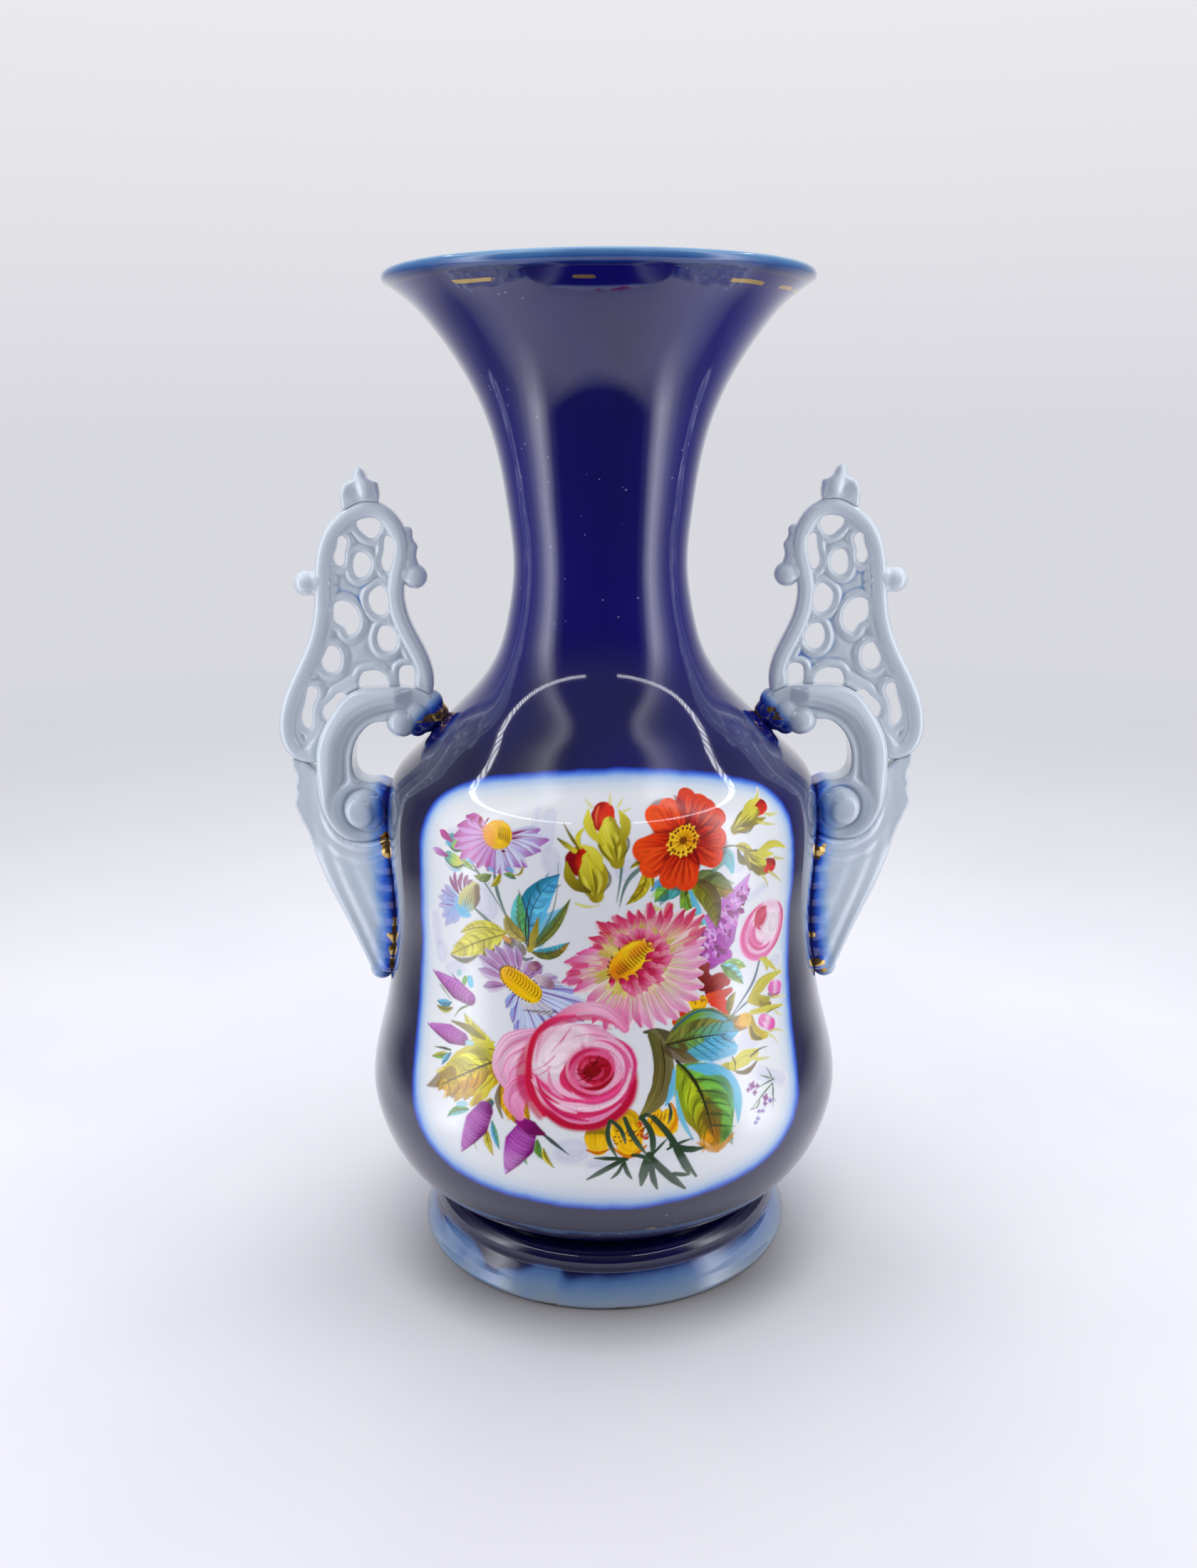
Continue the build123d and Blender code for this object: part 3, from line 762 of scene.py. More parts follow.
def make_handles():
    """Every piece of the right handle, and its mirrored copy on the left."""
    material = handle_glaze()
    rights = {}
    for part, (voxel, rounds, fat, relief) in CASTS.items():
        right = rights[part] = softened("right_" + part, voxel, rounds)
        if relief:
            relief(right)
        fatten(right, fat)
    for part, balls in LUMPS.items():
        rights[part] = lumps("right_" + part + "_glazed", balls, 0.0005, 10)
    for part, right in rights.items():
        glaze_marks(right)
        left = mirrored(right, "left_" + part + "_glazed")
        dress(right, material, "pale_glaze", "right_" + part)
        dress(left, material, "pale_glaze", "left_" + part)


# ---------------------------------------------------------------- painted bouquet
# The enamel is laid stroke by stroke on a fine net of points that lies on the front of the pot. Places
# and widths are millimetres across and up; colours are display values from 0 to 255.
NET_STEP = 0.30
NET_ACROSS = (-81.0, 82.0)
NET_UP = (-49.0, 111.0)
NET_SHIFT = 1.6
net_x, net_y = np.meshgrid(np.arange(*NET_ACROSS, NET_STEP), np.arange(*NET_UP, NET_STEP))
net_colour = np.zeros((*net_x.shape, 3))
net_cover = np.zeros(net_x.shape)
brush = random.Random(11)

SHADOW = (188, 190, 222)
OLIVE = (150, 140, 25)
OLIVE_DARK = (84, 72, 12)
LEMON = (212, 202, 48)
YELLOW = (250, 200, 10)
BROWN = (112, 74, 14)
SKY = (92, 182, 224)
TEAL = (34, 120, 150)
GREEN = (104, 160, 52)
MOSS = (92, 92, 42)
STEM = (104, 128, 122)
PINE = (48, 72, 52)
RED = (228, 54, 8)
RED_DARK = (158, 16, 6)
CRIMSON = (206, 24, 66)
WINE = (138, 6, 20)
LILAC = (196, 132, 208)
PURPLE = (158, 52, 160)
PLUM = (112, 12, 92)


def linear(colour):
    c = np.asarray(colour, float) / 255
    return np.where(c <= 0.04045, c / 12.92, ((c + 0.055) / 1.055) ** 2.4)


def spline(points):
    """A smooth line through points, or through a path's text."""
    if isinstance(points, str):
        points = path(points)
    if len(points) == 2:
        return np.linspace(points[0], points[1], 7)
    return smooth_curve(points, 7 * len(points))


class Pose:
    """Turns or flips the strokes painted inside it about a centre, so one flower's drawing can sit any way."""

    current = None

    def __init__(self, centre, turn=0.0, flip=False):
        self.centre = np.array(centre, float)
        a = radians(turn)
        self.grid = np.array([[cos(a), -sin(a)],
                              [sin(a), cos(a)]]) @ np.diag([-1 if flip else 1, 1])

    def __enter__(self):
        Pose.current = self

    def __exit__(self, *_):
        Pose.current = None

    def place(self, points):
        return (points - self.centre) @ self.grid.T + self.centre


def stroke(points, widths, colours, opacity=1.0, soft=0.35, streak=0.35, side=None):
    """One brush stroke: its half widths, and a list of colours, change along it; bristles streak it.

    side is a colour that takes over toward the stroke's left edge, or None.
    """
    line = spline(points)
    if Pose.current:
        line = Pose.current.place(line)
    reach = max(widths) + soft + 0.5
    lo, hi = line.min(0) - reach, line.max(0) + reach
    i0, i1 = np.searchsorted(net_x[0], (lo[0], hi[0]))
    j0, j1 = np.searchsorted(net_y[:, 0], (lo[1], hi[1]))
    if i0 >= i1 or j0 >= j1:
        return
    area = (slice(j0, j1), slice(i0, i1))
    gap, share, hand = nearest_on(line, net_x[area], net_y[area])
    half = np.interp(share, np.linspace(0, 1, len(widths)), widths)
    across = np.clip(hand * gap / np.maximum(half, 0.05), -1, 1)
    cover = np.clip((half - gap) / soft + 0.5, 0, 1)
    cover = cover * cover * (3 - 2 * cover)
    bristles = [brush.random() for _ in range(24)]
    lane = (across + 1) * 9.5 + 0.8 * np.sin(share * 5 + brush.random() * 6)
    grain = np.interp(lane, np.arange(24), bristles) - 0.5
    stops = np.array([linear(c) for c in np.atleast_2d(colours)])
    where = np.clip(share + 0.25 * grain * (len(stops) > 1), 0, 1)
    tone = np.stack([np.interp(where, np.linspace(0, 1, len(stops)), stops[:, k]) for k in range(3)], -1)
    if side is not None:
        mix = np.clip(across * 1.6 + 0.5 * grain, 0, 1)[..., None]
        tone = tone * (1 - mix) + linear(side) * mix
    tone = tone * (1 + streak * grain[..., None])
    cover = (cover * opacity)[..., None]
    net_colour[area] = net_colour[area] * (1 - cover) + np.clip(tone, 0, 1) * cover
    net_cover[area] = 1 - (1 - net_cover[area]) * (1 - cover[..., 0])


def heading(start, end):
    """The direction from one place to another, the direction to its left, and how far it is."""
    run = np.subtract(end, start)
    reach = max(np.hypot(*run), 1e-6)
    ahead = run / reach
    return ahead, np.array([-ahead[1], ahead[0]]), reach


def petal(base, tip, half, colours, bow=0.0, belly=0.62, **how):
    """A stroke that starts narrow, swells and ends round; bow bends it to its left."""
    (ax, ay), (bx, by) = base, tip
    middle = ((ax + bx) / 2 - bow * (by - ay), (ay + by) / 2 + bow * (bx - ax))
    widths = [half * w for w in (0.35, 0.62, 0.88, 1.0, 0.95, 0.35)]
    if belly < 0.5:
        widths = [half * w for w in (0.5, 0.95, 1.0, 0.8, 0.45, 0.05)]
    stroke([base, middle, tip], widths, colours, **how)


def dab(x, y, rx, ry, turn, colours, **how):
    """A round touch of the brush, drawn along its longer axis."""
    a = radians(turn)
    reach = max(rx - ry, 0.1)
    ends = [(x - reach * cos(a), y - reach * sin(a)),
            (x + reach * cos(a), y + reach * sin(a))]
    stroke(ends, [ry * 0.9, ry, ry * 0.9], colours, **how)


def line(points, half, colour, **how):
    stroke(points, [half * 0.7, half, half * 0.6, 0.12], colour, streak=0.2, **how)


def leaf(points, half, light, dark, veins=4, rib=None, **how):
    """A pointed leaf in two tones on either side of its rib, brushed outward, with fine side veins."""
    stroke(points, [0.3, half * 0.78, half, half * 0.93, half * 0.6, 0.15], light, side=dark, **how)
    ink = rib or OLIVE_DARK
    curve = spline(points)
    sweeps = int(3 + half * 1.2)
    for k in range(sweeps):
        place = 0.12 + 0.7 * (k + 0.5) / sweeps
        i = int(len(curve) * place)
        ahead, left, _ = heading(curve[i], curve[min(i + 2, len(curve) - 1)])
        for hand in (-1, 1):
            aside = left * hand
            tone = np.array(dark if hand > 0 else light[min(int(place * len(light)), len(light) - 1)], float)
            tone = np.clip(tone * brush.choice((0.72, 0.86, 1.12, 1.24)), 0, 250)
            end = curve[i] + (ahead * 1.0 + aside * 0.9) * half * (0.98 - 0.45 * place)
            mid = curve[i] + (ahead * 0.35 + aside * 0.55) * half * (0.98 - 0.45 * place)
            stroke([curve[i], mid, end], [0.2, half * 0.16, half * 0.13, 0.08], tone, opacity=0.62)
    line(curve[:: max(1, len(curve) // 4)][:5], 0.28, ink, opacity=0.8)
    for k in range(1, veins + 1):
        i = int(len(curve) * k / (veins + 1.6))
        ahead, left, _ = heading(curve[i], curve[min(i + 2, len(curve) - 1)])
        for hand in (-1, 1):
            aside = left * hand
            end = curve[i] + (ahead * 0.75 + aside) * half * 0.62
            mid = curve[i] + (ahead * 0.28 + aside * 0.55) * half * 0.62
            line([curve[i], mid, end], 0.17, ink, opacity=0.6)


def lobed_petal(base, tip, half, colours, rim=None):
    """A broad petal with a shallow notch at its end, brushed from its base to its rim."""
    a = np.array(base, float)
    ahead, aside, reach = heading(base, tip)
    run = ahead * reach
    stroke([a, a + run * 0.35, a + run * 0.62], [half * 0.7, half * 0.98, half * 0.86], (96, 6, 4),
           opacity=0.7, soft=1.8)
    for hand in (-1, 1):
        middle = a + ahead * reach * 0.5 + aside * half * 0.30 * hand
        end = a + ahead * (reach - half * 0.52) + aside * half * 0.42 * hand
        stroke([a, middle, end], [half * 0.34, half * 0.56, half * 0.66, half * 0.58], colours, soft=0.5)
    for k in range(9):
        share = (k - 4) / 4
        start = a + ahead * reach * 0.3 + aside * half * 0.3 * share
        end = a + ahead * reach * (0.90 - 0.12 * share * share) + aside * half * 0.84 * share
        middle = (start + end) / 2 + aside * half * 0.06 * share
        tone = brush.choice((colours[0], colours[0], rim or colours[-1]))
        stroke([start, middle, end], [0.15, 0.5, 0.35, 0.1], tone, opacity=0.5)


def ring_of(centre, radii, turn, angles):
    """Points round a tilted oval."""
    t = radians(turn)
    found = []
    for angle in angles:
        a = radians(angle)
        u, v = radii[0] * cos(a), radii[1] * sin(a)
        found.append((centre[0] + u * cos(t) - v * sin(t),
                      centre[1] + u * sin(t) + v * cos(t)))
    return found


def on_ring(centre, radii, turn, angle):
    return ring_of(centre, radii, turn, [angle])[0]


def shadows():
    for x, y, rx, ry, turn in ((-74, 47, 3.2, 8, 0), (-72, 38, 3.5, 5, 0), (-64, 33, 6, 3, 20),
                               (-22, 94, 3, 8, 0), (-27, 97, 1.6, 5, 0), (-20, 82, 4, 6, 20),
                               (52, 78, 5, 6, 0), (57, 4, 6, 5, 20), (-13, -29, 7, 5, 10),
                               (66, -13, 9, 3, -30), (-47, 64, 5, 8, 20), (-46, 40, 6, 4, 0),
                               (62, 63, 7, 2, 20), (-4, -34, 4, 2, 0), (7, 79, 5, 5, 0),
                               (-60, 87, 6, 3, 5), (76, 31, 4, 3, 0)):
        dab(x, y, max(rx, ry), min(rx, ry), turn if rx > ry else turn + 90, SHADOW, opacity=0.42, soft=2.2)


def stems():
    line("-42.5,75 -41.5,68 -39,61 -37,56", 0.8, STEM)
    line("-56,82 -50,75 -43,66 -38,58", 0.5, STEM)
    line("-56,76 -50,74.6 -45,71", 0.4, STEM)
    line("-52,60 -46,56 -38,52.5", 0.8, STEM)
    line("5.6,86 5,77 3.4,67", 0.6, STEM)
    line("15,81 9,77 4.5,65", 0.9, STEM)
    line("66,35 63,28 56,21 49,15", 0.7, (88, 108, 132))
    line("60,20 55,18 49,15", 0.5, (104, 120, 138))
    line("44,83.5 50,83.6 54,81", 0.35, MOSS)
    line("-22,-24 -18,-27 -13.5,-30.5", 0.8, (72, 84, 84))


def lilac_daisy():
    centre = (-40, 90)
    for angle, length in zip(range(168, 392, 13),
                             (15, 18, 16, 14, 15, 14, 15, 15, 14.5, 14, 15, 16, 18, 18, 17.5, 16, 14)):
        a = radians(angle + brush.uniform(-4, 4))
        tip = (centre[0] + 1.12 * length * cos(a), centre[1] + 0.98 * length * sin(a))
        base = (centre[0] + 5 * cos(a), centre[1] + 4 * sin(a))
        right = cos(a) > 0.1
        colours = [(206, 190, 226), (186, 178, 224), (166, 96, 178)]
        if right:
            colours = [(214, 170, 214), (204, 110, 188), (172, 50, 140)]
        petal(base, tip, 2.5, colours, bow=0.06, side=(196, 140, 206) if right else (206, 208, 236))
        line([base, ((base[0] + tip[0]) / 2, (base[1] + tip[1]) / 2 + 0.4), tip], 0.25, (140, 40, 120),
             opacity=0.75)
    for points in ("-45.5,90.5 -51.5,92.6", "-46,89.2 -50,89.8", "-35,95.4 -34,93", "-33.5,91.4 -31,92.6"):
        line(points, 0.45, (140, 30, 90))
    dab(-31.6, 94.2, 1.5, 0.9, 80, (160, 24, 60))
    line("-29,95 -27.4,94 -28.6,92.6", 0.35, (160, 40, 80))
    dab(-40.2, 90, 6.6, 5.7, 10, [YELLOW, (250, 186, 4)])
    dab(-36.2, 89.2, 4.4, 2.4, 60, (240, 150, 8), opacity=0.6, soft=1.2)
    for k in range(7):
        x = -45.3 + 0.75 * k
        line([(x, 87.2 + 0.25 * k), (x + 0.3, 92.2 + 0.1 * k)], 0.24, BROWN, opacity=0.8)
    for x, y in ring_of(centre, (6.4, 5.6), 10, range(200, 380, 14)):
        line([(x, y), (x * 0.9 - 4, y * 0.9 + 9)], 0.28, (190, 110, 10), opacity=0.8)
    dab(-43.2, 84.2, 0.8, 0.5, 0, (90, 20, 40))
    leaf("-38,74.6 -34.5,72.8 -30.5,73", 1.7, [GREEN, (150, 170, 40)], MOSS, veins=1)
    leaf("-29.6,76.2 -27.5,77 -25,78.4", 1.4, [(150, 190, 50)], GREEN, veins=1)
    leaf("-42,75.5 -40.5,72.5 -37.8,70", 1.2, [LEMON], OLIVE, veins=0)
    leaf("-48,74.4 -46,75.4 -43.4,75.6", 1.2, [(150, 180, 50)], TEAL, veins=0)
    line("-51,79 -50,76.6 -47,75.6", 0.5, OLIVE)
    for x, y in ((-46, 77.6), (-38, 76.6), (-28.6, 78.4)):
        dab(x, y, 1.8, 0.8, 20, SKY, opacity=0.7)


def small_buds():
    dab(-60.8, 84.2, 4.6, 2.9, -24, [(64, 150, 160), (140, 190, 60), (200, 205, 60)])
    line("-57,82 -61,81.2 -65.5,84", 0.6, (50, 80, 50))
    petal((-62.5, 84.4), (-69, 87.2), 1.6, [(150, 40, 110), (186, 70, 150)])
    dab(-64.5, 83.2, 1.6, 1.0, 160, SKY, opacity=0.7)
    dab(-61.4, 77.4, 5.2, 2.7, -14, [(80, 160, 150), (160, 196, 60), (196, 200, 50)])
    line("-56.4,76.4 -61,74.6 -66.4,77.4", 0.6, (60, 96, 60))
    line("-58,74.2 -63,73.6 -66,76", 0.5, SKY, opacity=0.8)
    petal((-64.5, 78.4), (-72.6, 79.6), 1.5, [(150, 46, 120), (180, 96, 176), (206, 176, 220)])


def side_aster():
    for tip in path("-68.5,63.5 -70.5,60.5 -70.8,57 -69.5,53 -68,50 -63.5,52 -66.5,66"):
        petal((-58.5, 61), tip, 1.9, [(120, 190, 230), (150, 176, 226), (176, 170, 218)], opacity=0.9)
    for points in ("-62,62 -69,64", "-61,63 -66.5,65.4", "-62,60.6 -66,61", "-63,59 -70,58"):
        line(points, 0.3, (140, 60, 130), opacity=0.9)
    for base, tip in (((-59.6, 64.4), (-63.6, 70.4)), ((-59.6, 65), (-61, 72.6)), ((-58.6, 66), (-57.2, 73)),
                      ((-56.6, 67), (-54.6, 72.6)), ((-55.2, 68), (-52.6, 71)), ((-58, 66), (-59, 70.5))):
        petal(base, tip, 0.95, [(120, 40, 100), (150, 70, 130)], bow=0.08)
    stroke("-58.4,58.6 -55,63 -51.4,68.4", [2.6, 4.2, 4.0, 2.4],
           [(110, 186, 214), (176, 176, 96), (150, 128, 66)], side=(198, 194, 110))
    stroke("-52.2,60.4 -50.4,64.6 -50.8,69", [0.5, 1.3, 0.8], (104, 74, 40), opacity=0.85)
    stroke("-60.5,59.5 -58,57 -55.2,56.8", [0.8, 2.2, 1.0], (84, 186, 230), opacity=0.9)
    for k in range(4):
        line([(-57 + 1.4 * k, 60 + 0.6 * k), (-55 + 1.2 * k, 65 + 0.6 * k)], 0.22, OLIVE_DARK, opacity=0.7)


def yellow_leaf_group():
    leaf("-38.5,52.2 -48,53 -60,48.6", 3.0, [LEMON, (206, 196, 40)], (222, 212, 80), veins=2)
    leaf("-40,51.6 -46.6,46 -46.6,36", 3.5, [LEMON, (176, 160, 24), OLIVE], (140, 120, 16), veins=2)
    leaf("-39,52 -52,46.2 -66.4,38", 4.9, [LEMON, (214, 204, 52)], (222, 212, 70), veins=4)
    stroke("-66,37.6 -60,37 -52,41", [0.4, 1.2, 0.3], OLIVE_DARK, opacity=0.85, soft=0.8)
    stroke("-45.6,36.4 -49,41 -48.6,45", [0.4, 1.0, 0.2], OLIVE_DARK, opacity=0.7, soft=0.8)


def blue_leaf_group():
    leaf("-30,50 -27,65 -17,77.6", 5.6, [(70, 150, 190), SKY, (60, 160, 214)], TEAL, veins=3, rib=(30, 60, 70))
    stroke("-26,50 -22,58 -16.5,64", [2.2, 4.0, 0.6], [(80, 176, 200), SKY], opacity=0.85, soft=1.0)
    leaf("-31,49 -33.4,59 -32.6,69", 3.2, [(70, 150, 84), (96, 178, 110)], (100, 190, 196), veins=2)
    leaf("-29,47 -20.6,56 -13.4,68", 2.1, [(104, 112, 44), (120, 130, 60)], (86, 130, 84), veins=2)
    leaf("-29,46 -22,46 -14,51", 2.5, [(120, 120, 40), (90, 96, 40), (170, 130, 50)], (70, 170, 190), veins=2)
    leaf("-30.6,50 -36.4,54 -38.4,60", 3.0, [(160, 140, 44), OLIVE], (176, 160, 76), veins=1)
    stroke("-29.4,47 -27.4,53 -25.6,60", [1.4, 1.6, 0.3], [(176, 160, 44), (140, 130, 40)])
    line("-30.4,48 -30.6,58 -28,69", 0.35, (44, 44, 20))
    line("-28,49 -20,63 -17.6,82", 0.3, (60, 90, 70), opacity=0.8)
    line("-30,48 -31,66 -33,70", 0.3, (50, 40, 20))
    dab(-35.4, 47, 5.2, 3.4, -24, [(120, 110, 100), (168, 164, 160), (140, 132, 124)])
    dab(-38.8, 49.8, 2.2, 1.2, -30, (214, 150, 60), opacity=0.9)
    for k in range(5):
        line([(-38.5 + k * 1.5, 48.8 - 0.2 * k), (-36 + k * 1.2, 44.6)], 0.2, (84, 76, 70), opacity=0.8)
    stroke("-34,44 -31,42.6 -28.4,43.6", [0.4, 0.8, 0.4], (60, 70, 80), opacity=0.8)


def blue_aster():
    centre = (-30, 32.4)
    crown = path("-37.6,41.4 -33,42 -27,46.2 -22.6,46.2 -18.6,44.6 -14.6,42 -11.6,38.4 -12,33 -15,27 "
                 "-43.6,38 -46.6,35")
    for tip in crown:
        petal((centre[0] * 0.6 + tip[0] * 0.4, centre[1] * 0.6 + tip[1] * 0.4), tip, 2.3,
              [(180, 140, 190), (176, 120, 176), (170, 150, 196)], side=(206, 190, 214))
    for tip in path("-52,34 -56,29.6 -53.6,26 -55.4,23 -56,19.6 -53,16.6 -50.4,11.6 -46,8.6 -42.6,8.4 "
                    "-40,5.6 -37,7 -34.6,9.6 -31.6,12 -29,17 -25.6,22"):
        base = (centre[0] * 0.72 + tip[0] * 0.28, centre[1] * 0.66 + tip[1] * 0.34)
        petal(base, tip, 2.2, [(176, 196, 232), (150, 172, 226), (158, 150, 210)], side=(204, 214, 238))
        line([base, ((base[0] + tip[0]) / 2 + 0.3, (base[1] + tip[1]) / 2), tip], 0.42, (120, 50, 150),
             opacity=0.85)
    for tip in crown[::2]:
        line([((centre[0] + tip[0]) / 2, (centre[1] + tip[1]) / 2), tip], 0.4, (110, 50, 110), opacity=0.7)
    dab(-39.4, 35.4, 4.4, 2.2, 20, [(150, 110, 134), (206, 190, 200)])
    dab(-35, 40.6, 3, 2.2, -30, [(140, 76, 110), (176, 130, 150)])
    dab(-37, 25, 7, 2.6, 8, (206, 200, 206), opacity=0.7)
    for k in range(6):
        line([(-45 + 2 * k, 25 - 0.4 * k), (-42 + 2 * k, 22.4)], 0.3, (90, 70, 60), opacity=0.8)
    dab(-30, 32.2, 10, 4.6, 24, [YELLOW, (252, 190, 2)])
    for x, y in ring_of(centre, (9.8, 5.0), 24, range(-130, 130, 9)):
        line([(x, y), (x * 0.93 + centre[0] * 0.07, y * 0.93 + centre[1] * 0.07)], 0.4, (96, 56, 10))
    for k in range(12):
        x, y = -37.6 + 1.25 * k, 28.0 + 0.62 * k
        line([(x, y), (x - 0.9, y + 1.4), (x - 0.6, y + 4.2)], 0.26, (128, 76, 4), opacity=0.85)


def lilac_spray():
    stroke("40,44 46,56 57.4,71", [8, 10, 8, 5.5, 3, 0.6], [PURPLE, (190, 100, 196), LILAC], soft=1.2)
    stroke("28,56 36,48 48,40", [1.5, 6, 7, 3], [(150, 20, 140), (184, 70, 186)], soft=1.0)
    dab(58, 46, 9, 4, 90, (222, 190, 226), opacity=0.55, soft=2.5)
    for _ in range(230):
        share = brush.random()
        x = 30 + 25 * share + brush.uniform(-5, 6) * (1.2 - share)
        y = 45 + 22 * share * share + brush.uniform(-8, 13) * (1.1 - share)
        if x < 29 + 0.35 * (58 - y) * (y < 58) - 2 or y > 71:
            continue
        dark = brush.random() < (0.75 if x < 37 else 0.33)
        tone = brush.choice([PLUM, (150, 16, 136), PURPLE] if dark else [(222, 166, 226), LILAC, (206, 110, 204)])
        length = brush.uniform(1.4, 2.8)
        petal((x, y), (x + length * 0.75, y - length), brush.uniform(0.6, 1.0), [tone, tone], streak=0.5)
    for x, y in path("37.6,44.6 44,44 46.6,42 31,53.4 35,51 33,44.6 49,57 55,62 54,57"):
        petal((x - 1.5, y + 1.4), (x + 1.6, y - 0.6), 1.2, [PLUM, (160, 30, 140)])


def wild_rose():
    middle = (28, 88.6)
    glow = (240, 92, 30)
    lobed_petal((30, 91), (46.5, 97.6), 7.0, [RED_DARK, (188, 26, 8), (224, 58, 14)], glow)
    lobed_petal((31.5, 88), (48.4, 88), 6.2, [(140, 10, 4), (180, 22, 8), (222, 60, 16)], glow)
    lobed_petal((27, 91.5), (30, 105.2), 7.8, [(196, 34, 8), RED, (238, 78, 18)], glow)
    stroke("34,95 37,99 38,102.6", [0.6, 1.8, 1.4, 0.5], RED_DARK, opacity=0.75, soft=1.0)
    lobed_petal((25.5, 89.4), (9.8, 92.6), 7.8, [(186, 28, 8), RED, (236, 72, 16)], glow)
    stroke("24,85.4 17,84.4 12.6,86", [0.8, 1.3, 0.4], RED_DARK, opacity=0.6, soft=1.0)
    lobed_petal((27, 86), (15.6, 75.6), 7.6, [(150, 14, 6), (206, 42, 8), (226, 62, 14)], glow)
    lobed_petal((30, 86), (38.8, 75), 7.8, [(144, 12, 6), (200, 36, 8), (228, 60, 12)], glow)
    line("29,84 28.2,79 26.6,75.6", 0.8, (110, 8, 6), opacity=0.85)
    line("34,85 40,83.4 45,84", 0.7, (116, 8, 6), opacity=0.7)
    for a in range(0, 360, 15):
        near = on_ring(middle, (6.4, 5.2), 0, a)
        far = on_ring(middle, (10.5 + 2 * brush.random(), 9), 0, a + brush.uniform(-8, 8))
        line([near, far], 0.45, (140, 10, 4), opacity=0.6)
    dab(*middle, 6.6, 5.3, 0, [(250, 200, 34), (246, 184, 12)])
    dab(30.4, 86.6, 3.4, 2.0, -30, (226, 140, 10), opacity=0.6, soft=1.2)
    for a in range(0, 360, 20):
        x, y = on_ring(middle, (5.2, 4.0), 0, a + brush.uniform(-6, 6))
        line([(middle[0] * 0.72 + x * 0.28, middle[1] * 0.72 + y * 0.28), (x, y)], 0.2, (150, 70, 4),
             opacity=0.9)
        dab(x, y, 0.62, 0.5, 0, (104, 26, 6))
        x, y = on_ring(middle, (6.6, 5.2), 0, a + 10)
        dab(x, y, 0.6, 0.42, a, [brush.choice([(130, 40, 8), (250, 214, 70)])])
    dab(*middle, 1.7, 1.4, 0, (120, 62, 6))


def rose_leaves():
    leaf("30,75 24,72 17.4,66.4", 4.8, [(70, 120, 50), (84, 150, 70), (120, 170, 60)], (64, 150, 150), veins=3)
    stroke("16.4,71 18,73 23,73.4", [0.6, 1.6, 0.4], (60, 150, 200), opacity=0.9)
    stroke("17,65 20,62.6 25,64", [0.5, 1.2, 0.3], (200, 196, 60), opacity=0.8, soft=0.7)
    leaf("30,74.6 39,70.6 50,66", 5.6, [(110, 104, 44), (130, 132, 50), (180, 140, 46)], (96, 110, 60), veins=4)
    stroke("41,76 46,80 49,74", [1.0, 3.4, 1.0], [(110, 150, 120), (92, 190, 214)], opacity=0.9, soft=0.8)
    leaf("30.6,74 40,64 43,52.6", 4.2, [(110, 104, 30), (130, 130, 30), (150, 136, 40)], (98, 80, 44), veins=3)
    leaf("29.4,73.4 32,61 39,53.4", 3.6, [(120, 150, 40), (116, 170, 60), (80, 150, 60)], (140, 180, 50),
         veins=3)
    stroke("30.4,71 34,62 38.4,54", [0.4, 1.5, 0.5], [SKY, (110, 200, 224)], opacity=0.95)
    line("30.4,77 30,73 29,66", 0.7, (50, 60, 40))
    leaf("12,84.6 15,85.2 19,84.8", 1.0, [LEMON], OLIVE, veins=0)
    leaf("8.6,80 11,81.4 14.6,82", 0.9, [LEMON], OLIVE, veins=0)
    leaf("14.4,80 13,72 7,66", 2.3, [(210, 196, 50), (170, 140, 20), OLIVE], (190, 176, 36), veins=1)
    leaf("15.4,79 16.4,75 16.6,71.6", 1.0, [LEMON], OLIVE, veins=0)


def cup(points, half, light, dark):
    """The green cup of a bud: a broad touch with sepals drawn down it in darker and paler strokes."""
    stroke(points, [half * 0.5, half * 0.9, half, half * 0.86, half * 0.5], light, side=dark, soft=0.5)
    curve = spline(points)
    i, j = int(len(curve) * 0.25), len(curve) - 2
    aside = heading(curve[i], curve[j])[1]
    for k in range(7):
        share = (k - 3) / 3
        start = curve[i] + aside * half * 0.86 * share
        middle = (curve[i] + curve[j]) / 2 + aside * half * (0.95 * share + 0.1)
        end = curve[j] + aside * half * 0.30 * share
        tone = (OLIVE_DARK, (226, 216, 84), (150, 132, 18))[k % 3]
        stroke([start, middle, end], [0.15, half * 0.11, half * 0.09, 0.1], tone, opacity=0.75)


